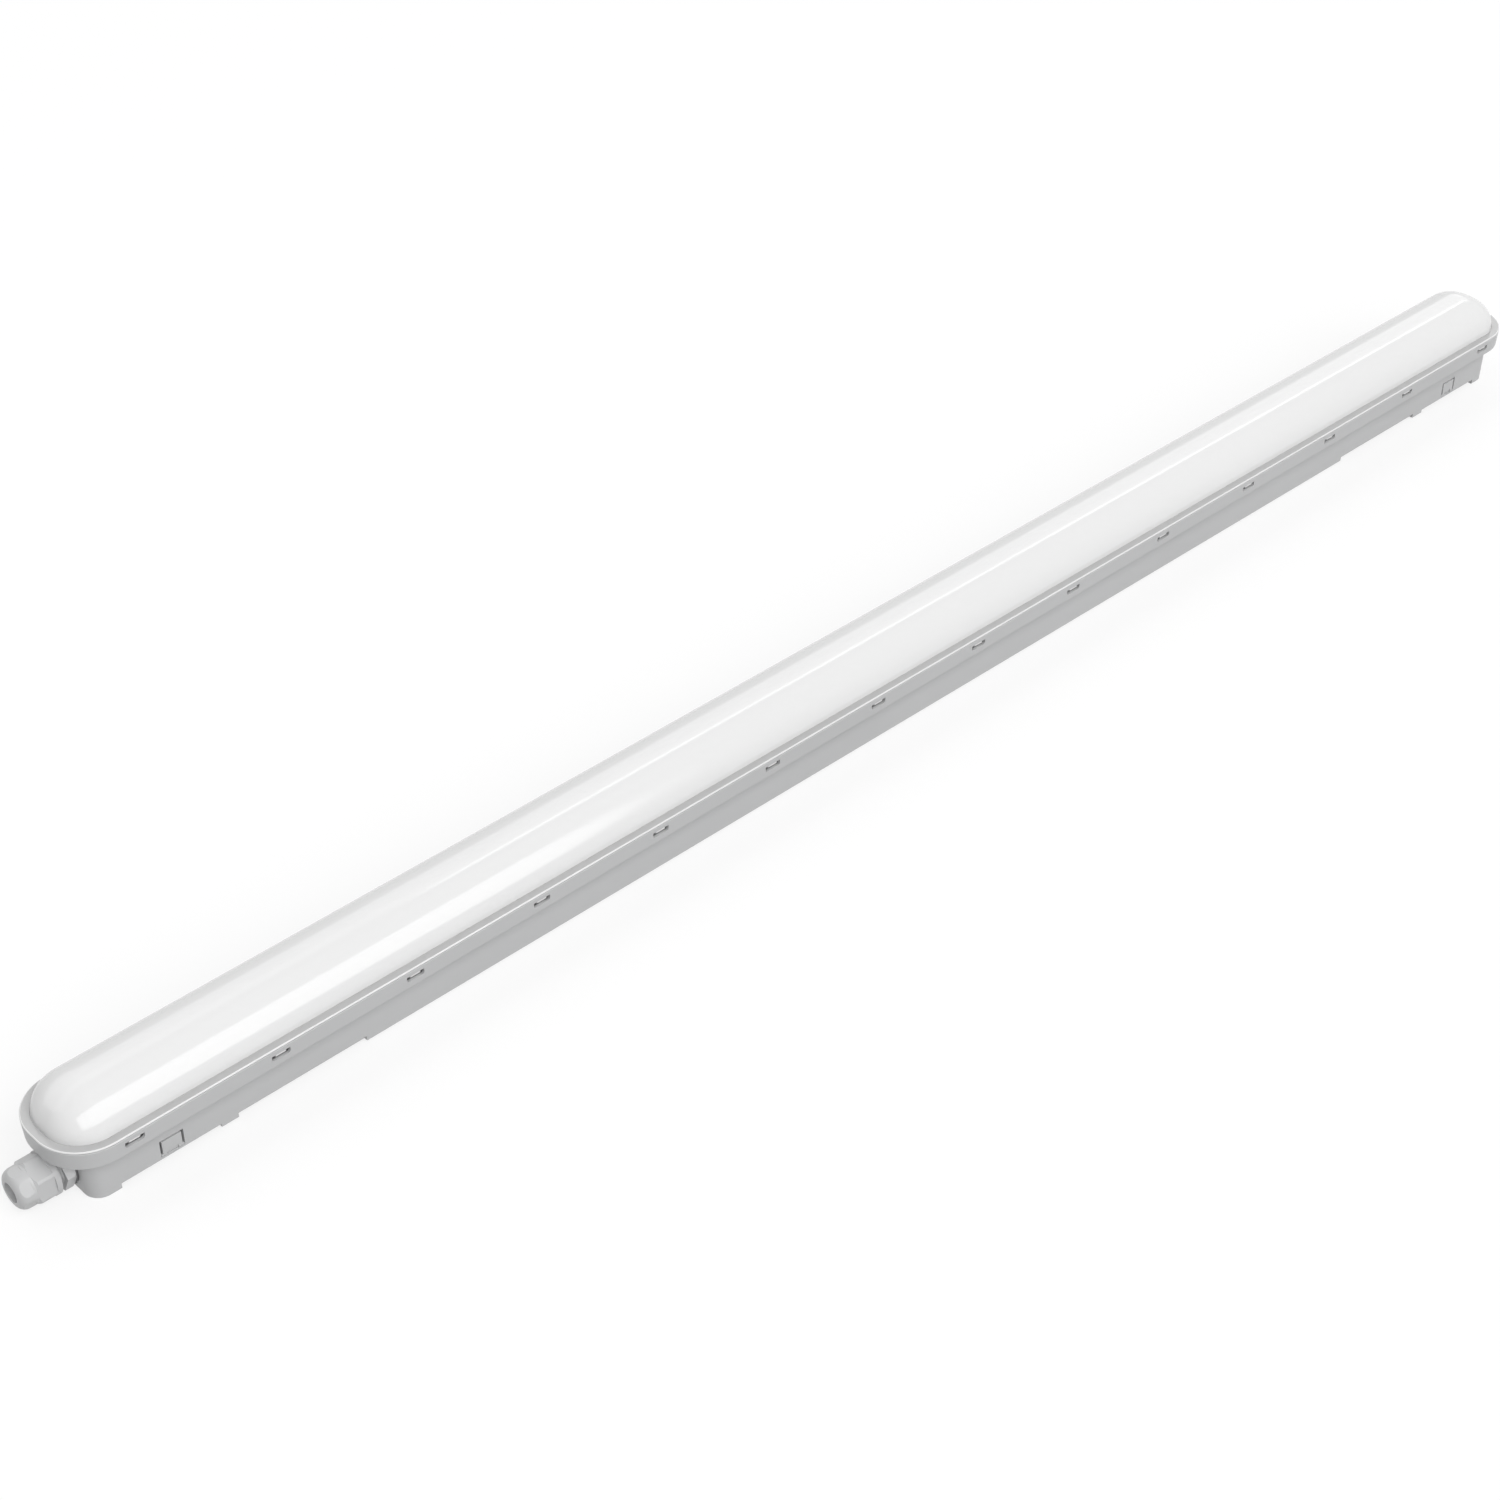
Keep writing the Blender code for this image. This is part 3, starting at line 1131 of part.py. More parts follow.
def make_clips():
    """Saddle clips that hold the mains wires to the floor."""
    floor = FLOOR_TOP + SEAT_GAP
    leave_x = terminal_middle() + TERMINAL_LENGTH / 2
    end_x = TRAY_MIDDLE - DRIVER_LENGTH / 2
    room = WIRE_RADIUS + SEAT_GAP
    low_y, high_y = wire_lane(TERMINAL_POLES[0]) - room, wire_lane(TERMINAL_POLES[1]) + room
    roof = floor + 2 * WIRE_RADIUS + SEAT_GAP
    wide_low, wide_high, top = low_y - CLIP_WALL, high_y + CLIP_WALL, roof + CLIP_WALL
    section = (
        (wide_low, floor), (low_y, floor), (low_y, roof), (high_y, roof), (high_y, floor),
        (wide_high, floor), (wide_high, top), (wide_low, top),
    )
    for number, share in enumerate(CLIP_PLACE_SHARES, 1):
        x = leave_x + share * (end_x - leave_x)
        bm = bmesh.new()
        start = [Vector((x - CLIP_WIDTH / 2, y, z)) for y, z in section]
        end = [Vector((x + CLIP_WIDTH / 2, y, z)) for y, z in section]
        add_prism(bm, start, end)
        solid(f"wire_clip_{number}", bm, look=material("board white", BOARD_WHITE, 0.4))


def centre_all():
    """Hangs every piece on one empty, so that the origin lies under the middle of the whole part's box."""
    centre = bpy.data.objects.new("fixture_centre", None)
    bpy.context.scene.collection.objects.link(centre)
    centre.location = (CENTRE_SHIFT, 0, 0)
    for obj in list(bpy.data.objects):
        if obj is not centre:
            obj.parent = centre


def main():
    clear_scene()
    tab_notch = tab_notch_cutter()
    make_housing(tab_notch)
    make_cover()
    make_gasket()
    make_tabs(tab_notch)
    make_gland_body()
    make_gland_washer()
    make_gland_seal()
    make_gland_nut()
    make_tray()
    make_boards()
    make_tray_screws()
    make_driver()
    make_terminal_block()
    make_mains_wires()
    make_earth_wire()
    make_leads()
    make_grommet()
    make_clips()
    centre_all()


main()
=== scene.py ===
"""Looks of the vapor tight light fixture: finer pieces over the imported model, finishes, light and camera."""

import math

import bmesh
import bpy
from mathutils import Matrix, Vector

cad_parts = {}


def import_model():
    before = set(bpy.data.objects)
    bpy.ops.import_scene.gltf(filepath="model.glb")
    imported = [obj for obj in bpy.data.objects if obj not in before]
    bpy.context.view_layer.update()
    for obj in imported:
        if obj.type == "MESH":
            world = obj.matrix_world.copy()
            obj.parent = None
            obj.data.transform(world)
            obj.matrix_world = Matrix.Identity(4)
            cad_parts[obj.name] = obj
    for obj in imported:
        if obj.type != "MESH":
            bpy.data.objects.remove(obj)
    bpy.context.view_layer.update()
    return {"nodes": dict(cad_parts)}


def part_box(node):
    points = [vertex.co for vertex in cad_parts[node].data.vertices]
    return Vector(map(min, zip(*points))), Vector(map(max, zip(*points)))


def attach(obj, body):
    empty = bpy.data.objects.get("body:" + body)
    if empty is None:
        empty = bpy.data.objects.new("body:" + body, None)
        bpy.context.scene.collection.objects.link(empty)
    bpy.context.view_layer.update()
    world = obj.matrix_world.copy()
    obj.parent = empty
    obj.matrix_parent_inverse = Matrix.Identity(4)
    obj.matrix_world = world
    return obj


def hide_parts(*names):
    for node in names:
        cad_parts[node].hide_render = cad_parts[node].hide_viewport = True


MM = 0.001

# The photograph's camera, solved from the fixture's own edges and windows.
PHOTO_LENS_MM = 68.16
SENSOR_MM = 36
CAMERA_PLACE = (-1.06365, -1.0055, 1.0994)
CAMERA_HEADING_DEG = 43.33
CAMERA_PITCH_DEG = 37.905

# The light: an even sky, a large softbox behind with a bright edge, a panel in front and a weak fill. The
# floor is part white and part shaded where the camera sees it, so it keeps a faint shadow.
# Each box has its angle, its spread, its reach along X as a share of the distance, and its radiance.
SKY_LEVEL = 0.29
LIGHT_DISTANCE = 12
KEY_BOX = (134, 44, (-1.2, 1.9), 1.01)
EDGE_BOX = (109.5, 5, (0.45, 1.5), 3.6)
FRONT_BOX = (42, 44, (-0.85, 0.56), 3.1)
FILL_BOX = (20, 44, (-3.5, -0.5), 0.26)
FLOOR_WHITE_SHARE = 0.75

# Colours, as linear values.
HOUSING_GREY = (0.49, 0.493, 0.497, 1)
GLAND_LOOK = (0.5, 0.502, 0.506, 1)
OPAL_LOOK = (0.73, 0.73, 0.73, 1)
# The brim's top colour is a painted shade: greyer than the opal, it stands for the shade beside the dome.
BRIM_PAINTED_SHADE = (0.48, 0.48, 0.48, 1)
RUBBER_LOOK = (0.16, 0.16, 0.165, 1)
SEAL_BLACK = (0.02, 0.02, 0.02, 1)
ENAMEL_LOOK = (0.78, 0.78, 0.76, 1)
BOARD_LOOK = (0.8, 0.8, 0.78, 1)
STEEL_LOOK = (0.55, 0.55, 0.56, 1)
PHOSPHOR = (0.8, 0.55, 0.06, 1)
FLOOR_LOOK = (0.42, 0.42, 0.42, 1)
FLOOR_SEEN = (0.96, 0.96, 0.96, 1)

# What the finer pieces add to the model's own sizes.
EDGE_STEPS = 4
BODY_EDGE = 0.5 * MM
FILLET = 0.5 * MM
RIM_EDGE = 0.35 * MM
HEX_ROUND = 0.5 * MM
HEX_ROUND_STEPS = 4
SEAM_ROUND = 0.45 * MM
FOOT_GROOVE = 0.3 * MM
BRIM_DISH = 0.3 * MM
CROSS_REACH = 1.7 * MM
CROSS_HALF = 0.32 * MM
CROSS_DEPTH = 1.1 * MM
THREAD_PITCH = 1.5 * MM
THREAD_DEPTH = 0.45 * MM
THREAD_SINK = 0.25 * MM
THREAD_FORM = ((0, 0), (0.22, 0), (0.45, 1), (0.6, 1), (0.83, 0))
LIP_SHARE = 1.5
LEVEL_NORMAL = 0.6
TAB_EDGE = 0.2 * MM
EMITTER_TOP = 0.01 * MM

# The screws' heads: a low dome on a straight edge.
HEAD_STEPS = 32
HEAD_EDGE_SHARE = 0.35
HEAD_POWER = 0.6
HEAD_MIDDLE = 0.05 * MM
HEAD_LEAST = 0.06 * MM

# How each finer piece is cleaned and shaded.
WELD = 0.003 * MM
FLAT_DEG = 0.4
SMOOTH_DEG = 32
WIRE_SMOOTH_DEG = 60
ROUNDED_SHARP_DEG = 80
BEVEL_SEGMENTS = 2
AREA_WEIGHT = 100

# The grain and the patches of colour that every finish has.
GRAIN_STRENGTH = 0.3
GRAIN_DETAIL = 3
PATCH_DETAIL = 4
PATCH_RANGE = (0.3, 0.7)

# The floor, and how near and how far the camera sees.
FLOOR_REACH = 20
FLOOR_SINK = 0.05 * MM
CLIP_RANGE = (0.05, 60)

# Which body carries a node, where it isn't the housing's own.
BODY_OF = {
    "cover": "cover_body", "gland_seal": "seal_body", "gland_nut": "nut_body", "spring_tab_1": "tab_body_1",
    "spring_tab_2": "tab_body_2", "spring_tab_3": "tab_body_3", "spring_tab_4": "tab_body_4",
}

# The model's own sizes, as in its source, but with finer steps round its curves and a deeper rebate.
# Overall form. X runs along the fixture, the gland is at -X, and the back lies at Z = 0.
RIM_LENGTH = 1266.6 * MM
RIM_WIDTH = 67 * MM
RIM_END_FLAT = 8 * MM
RIM_HEIGHT = 11.3 * MM
RIM_DRAFT = 0.6 * MM
BODY_DEPTH = 29.9 * MM
END_OVERHANG = 14.8 * MM
SIDE_OVERHANG = 8.2 * MM
BODY_CORNER = 10.5 * MM
BODY_DRAFT = 0.5 * MM

# Walls, and the gap that two pieces keep where they touch.
SEAT_GAP = 0.3 * MM
BODY_WALL = 3 * MM
FLOOR_WALL = 2.2 * MM
BAND_WALL = 2 * MM
OVERRUN = 1 * MM
CORNER_STEPS = 26

# The rim's section: an outer band, a channel for the gasket, and an inner wall.
CHANNEL_FLOOR = 2.3 * MM
INNER_WALL_INSET = 8.4 * MM
INNER_WALL = 2 * MM
INNER_WALL_DROP = 3.2 * MM

# The back: deeper end blocks, raised and rebated stretches of the skirt, and a recess.
FOOT_LENGTH = 17.3 * MM
FOOT_DROP = 1.3 * MM
RAISED_LENGTH = 63.5 * MM
RAISED_LIFT = 2.3 * MM
STEP_LENGTH = 11 * MM
REBATE_LENGTH = 86.5 * MM
REBATE_HEIGHT = 3.3 * MM
REBATE_DEPTH = 2.6 * MM
REBATE_RIB = 2.4 * MM
SKIRT_HEIGHT = 3.5 * MM
SUMP_LENGTH = 16 * MM
SUMP_SIDE_ROOM = 4.3 * MM

# Snap windows in the rim, and the cover's hooks in them.
WINDOWS_PER_SIDE = 14
WINDOW_FROM_END = 40.1 * MM
WINDOW_END_EXTRA = 1.7 * MM
WINDOW_WIDTH = 12 * MM
WINDOW_HEIGHT = 3.7 * MM
WINDOW_CORNER = 0.9 * MM
WINDOW_DROP = 3 * MM
HOOK_WIDTH = 6.7 * MM
HOOK_LEG = 1.6 * MM
HOOK_REACH = 1.5 * MM
HOOK_TIP = 1.1 * MM
HOOK_RAMP = 1.7 * MM

# The cover: a dome that stands on a brim, whose edge lies flush with the rim's band.
COVER_INSET = 5.9 * MM
COVER_RISE = 2.45 * MM
BRIM_EDGE = 1.2 * MM
BRIM_ROUND = 0.7 * MM
BRIM_STEPS = 6
ARCH_HEIGHT = 21 * MM
ARCH_POWER = 1.9
ARCH_STEP_POWER = 1.6
COVER_WALL = 1.8 * MM
CREST_WIDTH = 2.4 * MM
ARCH_STEPS = 40

# The gasket under the cover's edge.
GASKET_HEIGHT = 1.9 * MM
GASKET_OVERHANG = 0.7 * MM

# Spring tabs in the lower walls.
TAB_FROM_END = 50 * MM
TAB_WIDTH = 12.3 * MM
TAB_HEIGHT = 9.9 * MM
TAB_GAP = 1.35 * MM
TAB_ROOT_HEIGHT = 5 * MM
TAB_POCKET_DEPTH = 5.4 * MM
TAB_POCKET_WALL = 2.2 * MM
TAB_NOTCH_WIDTH = 7 * MM
TAB_NOTCH_RISE = 0.7 * MM
TAB_NOTCH_HEIGHT = 3.2 * MM
TAB_NOTCH_DEPTH = 0.8 * MM

# The cable gland.
GLAND_FLATS = 24 * MM
GLAND_CORNER_RADIUS = 13.4 * MM
GLAND_CLEARANCE = 0.2 * MM
NUT_TURN_DEG = 34
BODY_HEX_TURN_DEG = 4
FLAT_TURN_DEG = 30
SPOT_DEPTH = 0.8 * MM
SPOT_MARGIN = 0.6 * MM
WASHER_RADIUS = 12.4 * MM
WASHER_THICKNESS = 1.1 * MM
HEX_THICKNESS = 5.6 * MM
HEX_CHAMFER = 0.4 * MM
HEX_BACK_CHAMFER = 1.3 * MM
NUT_GAP = 3.1 * MM
NUT_COLLAR = 2.9 * MM
NUT_HEX = 10.8 * MM
NUT_DOME = 9.6 * MM
DOME_ROUND = 5.4 * MM
DOME_STEPS = 16
MOUTH_RADIUS = 5.9 * MM
MOUTH_ROUND = 0.5 * MM
MOUTH_WALL = 5.2 * MM
FACET_LEAN_DEG = 9
FACET_DEPTH = 0.33 * MM
FACET_FROM_HEX = 1.3 * MM
SPIGOT_RADIUS = 9.6 * MM
SPIGOT_REACH = 8 * MM
BARREL_RADIUS = 9.9 * MM
THREAD_CLEARANCE = 0.4 * MM
BARREL_PAST_HEX = 3.2 * MM
GLAND_BORE = 6.6 * MM
ROUND_STEPS = 96

# The gear tray, the bays past its ends, and the boards on it.
TRAY_THICKNESS = 0.8 * MM
TRAY_DROP = 3.2 * MM
TRAY_SIDE_GAP = 0.6 * MM
WIRING_BAY = 97 * MM
FAR_BAY = 32 * MM
BOARD_FROM_END = 8 * MM
BOARD_GAP = 12 * MM
BOARD_COUNT = 3

# Screws and their bosses.
BOSS_RADIUS = 3.6 * MM
SCREW_HEAD_RADIUS = 2.9 * MM
SCREW_HEAD_HEIGHT = 1.8 * MM
SCREW_SHANK_RADIUS = 1.5 * MM
SCREW_LENGTH = 9 * MM
BOSS_FROM_TRAY_END = 32 * MM
SCREW_STEPS = 12

# Heights that several pieces share.
SKIRT_BOTTOM = FOOT_DROP
RECESS_TOP = SKIRT_BOTTOM + SKIRT_HEIGHT
FLOOR_TOP = RECESS_TOP + FLOOR_WALL
RIM_TOP = BODY_DEPTH + RIM_HEIGHT
CHANNEL_BOTTOM = BODY_DEPTH + CHANNEL_FLOOR
WINDOW_TOP = RIM_TOP - WINDOW_DROP
BRIM_LOW = RIM_TOP + SEAT_GAP
INNER_WALL_TOP = RIM_TOP - INNER_WALL_DROP
GASKET_TOP = CHANNEL_BOTTOM + SEAT_GAP + GASKET_HEIGHT
COVER_BOTTOM = GASKET_TOP + SEAT_GAP
COVER_BASE = RIM_TOP + COVER_RISE
TRAY_TOP = INNER_WALL_TOP - TRAY_DROP + SEAT_GAP
TRAY_BOTTOM = TRAY_TOP - TRAY_THICKNESS
BOSS_TOP = TRAY_BOTTOM - SEAT_GAP

# The rim's corners, the body under it, and the windows along it.
RIM_CORNER = (RIM_WIDTH - RIM_END_FLAT) / 2
BODY_LENGTH = RIM_LENGTH - 2 * END_OVERHANG
BODY_WIDTH = RIM_WIDTH - 2 * SIDE_OVERHANG
WINDOW_REACH = RIM_LENGTH / 2 - WINDOW_FROM_END
WINDOW_PITCH = 2 * (WINDOW_REACH - WINDOW_END_EXTRA) / (WINDOWS_PER_SIDE - 1)

# Half widths and half lengths of the housing's trough.
TROUGH_HALF_WIDTH = BODY_WIDTH / 2 - BODY_WALL
TROUGH_HALF_LENGTH = BODY_LENGTH / 2 - BODY_WALL
TROUGH_CORNER = BODY_CORNER - BODY_WALL
COVER_HALF_WIDTH = RIM_WIDTH / 2 - COVER_INSET
BAND_INSIDE = RIM_WIDTH / 2 - BAND_WALL

# How wide the sump at each end of the trough is.
SUMP_WIDTH = 2 * (TROUGH_HALF_WIDTH - SUMP_SIDE_ROOM)

# The tray's ends, and the boards along it.
TRAY_START = -(TROUGH_HALF_LENGTH - WIRING_BAY)
TRAY_END = TROUGH_HALF_LENGTH - FAR_BAY
TRAY_MIDDLE = (TRAY_START + TRAY_END) / 2
BOARD_ROOM = TRAY_END - TRAY_START - 2 * BOARD_FROM_END
BOARD_PITCH = (BOARD_ROOM + BOARD_GAP) / BOARD_COUNT

# The gland's places along X, from its spot face in the end wall outwards.
GLAND_HEIGHT = GLAND_CORNER_RADIUS + GLAND_CLEARANCE
GLAND_WALL_FACE = -(BODY_LENGTH / 2)
SPOT_FACE = GLAND_WALL_FACE + SPOT_DEPTH
WASHER_FACE = SPOT_FACE - SEAT_GAP
HEX_BACK = WASHER_FACE - WASHER_THICKNESS - SEAT_GAP
HEX_FRONT = HEX_BACK - HEX_THICKNESS
NUT_BACK = HEX_FRONT - NUT_GAP
NUT_HEX_BACK = NUT_BACK - NUT_COLLAR
NUT_HEX_FRONT = NUT_HEX_BACK - NUT_HEX
NUT_FRONT = NUT_HEX_FRONT - NUT_DOME

# The origin is under the middle of the whole part's box, gland included.
CENTRE_SHIFT = -(NUT_FRONT + RIM_LENGTH / 2) / 2


def outline(half_length, half_width, corner, height):
    """One ring of a rounded rectangle, seen from above, starting at its +X, +Y corner."""
    points = []
    for turn, (side_x, side_y) in enumerate(((1, 1), (-1, 1), (-1, -1), (1, -1))):
        centre = Vector((side_x * (half_length - corner), side_y * (half_width - corner), height))
        for step in range(CORNER_STEPS + 1):
            angle = (turn + step / CORNER_STEPS) * math.pi / 2
            points.append(centre + corner * Vector((math.cos(angle), math.sin(angle), 0)))
    return points


def rim_ring(inset, height):
    """The rim's outline, drawn in by the inset."""
    return outline(RIM_LENGTH / 2 - inset, RIM_WIDTH / 2 - inset, RIM_CORNER - inset, height)


def skin(rings, looped=False):
    """Joins rings of equally many points. The ends are capped, or joined when the rings run in a loop."""
    bm = bmesh.new()
    rows = [[bm.verts.new(point) for point in ring] for ring in rings]
    pairs = list(zip(rows, rows[1:]))
    if looped:
        pairs.append((rows[-1], rows[0]))
    for lower, upper in pairs:
        count = len(lower)
        for i in range(count):
            bm.faces.new((lower[i], lower[(i + 1) % count], upper[(i + 1) % count], upper[i]))
    if not looped:
        bm.faces.new(rows[0])
        bm.faces.new(rows[-1])
    return bm


def add_box(bm, low, high):
    """A box from its lowest corner to its highest."""
    size = Vector(high) - Vector(low)
    centre = (Vector(high) + Vector(low)) / 2
    place = Matrix.Translation(centre) @ Matrix.Diagonal((*size, 1))
    bmesh.ops.create_cube(bm, size=1, matrix=place)


def add_prism(bm, start, end):
    """Joins two equal polygons, given as lists of points, into a closed prism."""
    first = [bm.verts.new(point) for point in start]
    second = [bm.verts.new(point) for point in end]
    count = len(first)
    for i in range(count):
        bm.faces.new((first[i], first[(i + 1) % count], second[(i + 1) % count], second[i]))
    bm.faces.new(first[::-1])
    bm.faces.new(second)


def add_post(bm, centre, radius, bottom, top):
    """A round post along Z."""
    depth = top - bottom
    place = Matrix.Translation((centre[0], centre[1], (top + bottom) / 2))
    bmesh.ops.create_cone(
        bm, cap_ends=True, segments=SCREW_STEPS, radius1=radius, radius2=radius, depth=depth, matrix=place
    )


def ring_on_x(centre, radius, steps):
    """Points round a line that runs along X through the centre."""
    x, y, z = centre
    points = []
    for step in range(steps):
        angle = 2 * math.pi * step / steps
        points.append(Vector((x, y - radius * math.cos(angle), z + radius * math.sin(angle))))
    return points


def turned(profile):
    """Turns a closed profile of (x, radius) points round the gland's axis, as a ring with a bore."""
    return skin([ring_on_x((x, 0, GLAND_HEIGHT), radius, ROUND_STEPS) for x, radius in profile], looped=True)


def ring_on_z(centre, radius, height, steps):
    """Points round a vertical line through the centre."""
    points = []
    for step in range(steps):
        angle = 2 * math.pi * step / steps
        x, y = centre[0] + radius * math.cos(angle), centre[1] + radius * math.sin(angle)
        points.append(Vector((x, y, height)))
    return points


def turned_on_z(profile, centre, steps):
    """Turns a profile of (radius, z) points round a vertical line, as a capped solid."""
    return skin([ring_on_z(centre, radius, height, steps) for radius, height in profile])


def window_places():
    """Where the snap windows' middles lie along X: an even pitch, a little longer at each end."""
    inner = WINDOWS_PER_SIDE - 2
    places = [(i - (inner - 1) / 2) * WINDOW_PITCH for i in range(inner)]
    return [-WINDOW_REACH] + places + [WINDOW_REACH]


def end_tab_places():
    """Where each spring tab is: its place along X, and its side."""
    reach = BODY_LENGTH / 2 - TAB_FROM_END
    return [(end * reach, side) for end in (-1, 1) for side in (-1, 1)]


def boss_places():
    """Tray bosses: two between the boards, and one beside a board at each end of the tray."""
    between = BOARD_PITCH / 2
    side = TROUGH_HALF_WIDTH - BOSS_RADIUS - TRAY_SIDE_GAP - TRAY_THICKNESS - SEAT_GAP
    return [
        (TRAY_START + BOSS_FROM_TRAY_END, side), (TRAY_MIDDLE - between, 0),
        (TRAY_MIDDLE + between, 0), (TRAY_END - BOSS_FROM_TRAY_END, side),
    ]


def housing_bosses():
    """Screw bosses, and the blind pockets' walls behind the spring tabs, as one helper."""
    bm = bmesh.new()
    for place in boss_places():
        add_post(bm, place, BOSS_RADIUS, FLOOR_TOP - FLOOR_WALL / 2, BOSS_TOP)
    half = TAB_WIDTH / 2 + TAB_GAP + TAB_POCKET_WALL
    inside = BODY_WIDTH / 2 - TAB_POCKET_DEPTH - TAB_POCKET_WALL
    outside = TROUGH_HALF_WIDTH + BODY_WALL / 2
    top = TAB_ROOT_HEIGHT + TAB_HEIGHT + 2 * TAB_GAP + TAB_POCKET_WALL
    for x, side in end_tab_places():
        low_y, high_y = sorted((side * inside, side * outside))
        add_box(bm, (x - half, low_y, FLOOR_TOP - FLOOR_WALL / 2), (x + half, high_y, top))
    return helper("boss_helper", bm)


def window_cutter():
    """The snap windows through both long sides of the rim's band, as one helper."""
    bm = bmesh.new()
    bottom = WINDOW_TOP - WINDOW_HEIGHT
    half = WINDOW_WIDTH / 2
    face = RIM_WIDTH / 2 + OVERRUN
    back = BAND_INSIDE - OVERRUN
    corners = (
        (-half, WINDOW_TOP),
        (-half, bottom + WINDOW_CORNER),
        (-half + WINDOW_CORNER, bottom),
        (half - WINDOW_CORNER, bottom),
        (half, bottom + WINDOW_CORNER),
        (half, WINDOW_TOP),
    )
    for x in window_places():
        for side in (-1, 1):
            start = [Vector((x + dx, side * back, z)) for dx, z in corners]
            end = [Vector((x + dx, side * face, z)) for dx, z in corners]
            add_prism(bm, start, end)
    return helper("window_cutter", bm)


def back_cutter():
    """The main skirt's rise over the feet, its raised and rebated stretches, and the recess in the back."""
    bm = bmesh.new()
    wide = BODY_WIDTH / 2 + OVERRUN
    foot_edge = BODY_LENGTH / 2 - FOOT_LENGTH
    raised_edge = foot_edge - RAISED_LENGTH
    rebate_end = raised_edge - STEP_LENGTH
    rebate_start = rebate_end - REBATE_LENGTH
    add_box(bm, (-foot_edge, -wide, -OVERRUN), (foot_edge, wide, SKIRT_BOTTOM))
    skirt = helper("skirt_cutter", bm)
    bm = bmesh.new()
    rebate_face = BODY_WIDTH / 2 - BODY_DRAFT - REBATE_DEPTH
    for end in (-1, 1):
        low_x, high_x = sorted((end * raised_edge, end * foot_edge))
        add_box(bm, (low_x, -wide, 0), (high_x, wide, SKIRT_BOTTOM + RAISED_LIFT))
        low_x, high_x = sorted((end * rebate_start, end * rebate_end))
        for side in (-1, 1):
            low_y, high_y = sorted((side * rebate_face, side * wide))
            add_box(bm, (low_x, low_y, 0), (high_x, high_y, SKIRT_BOTTOM + REBATE_HEIGHT))
    stretches = helper("stretch_cutter", bm)
    rib_face = rebate_face - REBATE_RIB
    shoulder = rebate_start - REBATE_RIB
    bm = skin([recess_ring(shoulder, rib_face, 0), recess_ring(shoulder, rib_face, RECESS_TOP)])
    return skirt, stretches, helper("recess_cutter", bm)


def recess_ring(shoulder, rib_face, height):
    """The recess's outline: full width in the middle, and narrower beside the rebates."""
    wide = TROUGH_HALF_WIDTH
    reach = BODY_LENGTH / 2 - FOOT_LENGTH - RAISED_LENGTH - REBATE_RIB
    points = (
        (shoulder, wide), (-shoulder, wide), (-shoulder, rib_face), (-reach, rib_face),
        (-reach, -rib_face), (-shoulder, -rib_face), (-shoulder, -wide), (shoulder, -wide),
        (shoulder, -rib_face), (reach, -rib_face), (reach, rib_face), (shoulder, rib_face),
    )
    return [Vector((x, y, height)) for x, y in points]


def tab_opening_cutter():
    """The openings that the spring tabs stand in."""
    bm = bmesh.new()
    half = TAB_WIDTH / 2 + TAB_GAP
    top = TAB_ROOT_HEIGHT + SEAT_GAP + TAB_HEIGHT + TAB_GAP
    back = BODY_WIDTH / 2 - TAB_POCKET_DEPTH
    for x, side in end_tab_places():
        low_y, high_y = sorted((side * back, side * (BODY_WIDTH / 2 + OVERRUN)))
        add_box(bm, (x - half, low_y, TAB_ROOT_HEIGHT), (x + half, high_y, top))
    return helper("tab_opening_cutter", bm)


def tab_notch_cutter():
    """The shallow notch in the wall at each tab's foot."""
    bm = bmesh.new()
    half = TAB_NOTCH_WIDTH / 2
    back = tab_face() - TAB_NOTCH_DEPTH
    bottom = SKIRT_BOTTOM + RAISED_LIFT + TAB_NOTCH_RISE
    top = bottom + TAB_NOTCH_HEIGHT
    for x, side in end_tab_places():
        low_y, high_y = sorted((side * back, side * (BODY_WIDTH / 2 + OVERRUN)))
        add_box(bm, (x - half, low_y, bottom), (x + half, high_y, top))
    return helper("tab_notch_cutter", bm)


def end_cutter():
    """The sump at each end of the trough, the gland's spot face and hole, and the holes in the bosses."""
    bm = bmesh.new()
    for end in (-1, 1):
        near = end * (TROUGH_HALF_LENGTH - SUMP_LENGTH)
        low_x, high_x = sorted((near, end * (TROUGH_HALF_LENGTH - BODY_DRAFT)))
        half = SUMP_WIDTH / 2
        add_box(bm, (low_x, -half, FLOOR_WALL), (high_x, half, FLOOR_TOP + OVERRUN))
    sump = helper("sump_cutter", bm)
    hole = SPIGOT_RADIUS + SEAT_GAP
    spot = WASHER_RADIUS + SPOT_MARGIN
    outside = GLAND_WALL_FACE - OVERRUN
    stations = (
        (outside, spot), (SPOT_FACE, spot), (SPOT_FACE, hole), (-(TROUGH_HALF_LENGTH - OVERRUN), hole),
    )
    rings = [ring_on_x((x, 0, GLAND_HEIGHT), radius, ROUND_STEPS) for x, radius in stations]
    gland_hole = helper("gland_hole_cutter", skin(rings))
    bm = bmesh.new()
    bottom = BOSS_TOP - SCREW_LENGTH - SEAT_GAP
    for place in boss_places():
        add_post(bm, place, SCREW_SHANK_RADIUS + SEAT_GAP, bottom, BOSS_TOP + OVERRUN)
    return sump, gland_hole, helper("boss_hole_cutter", bm)


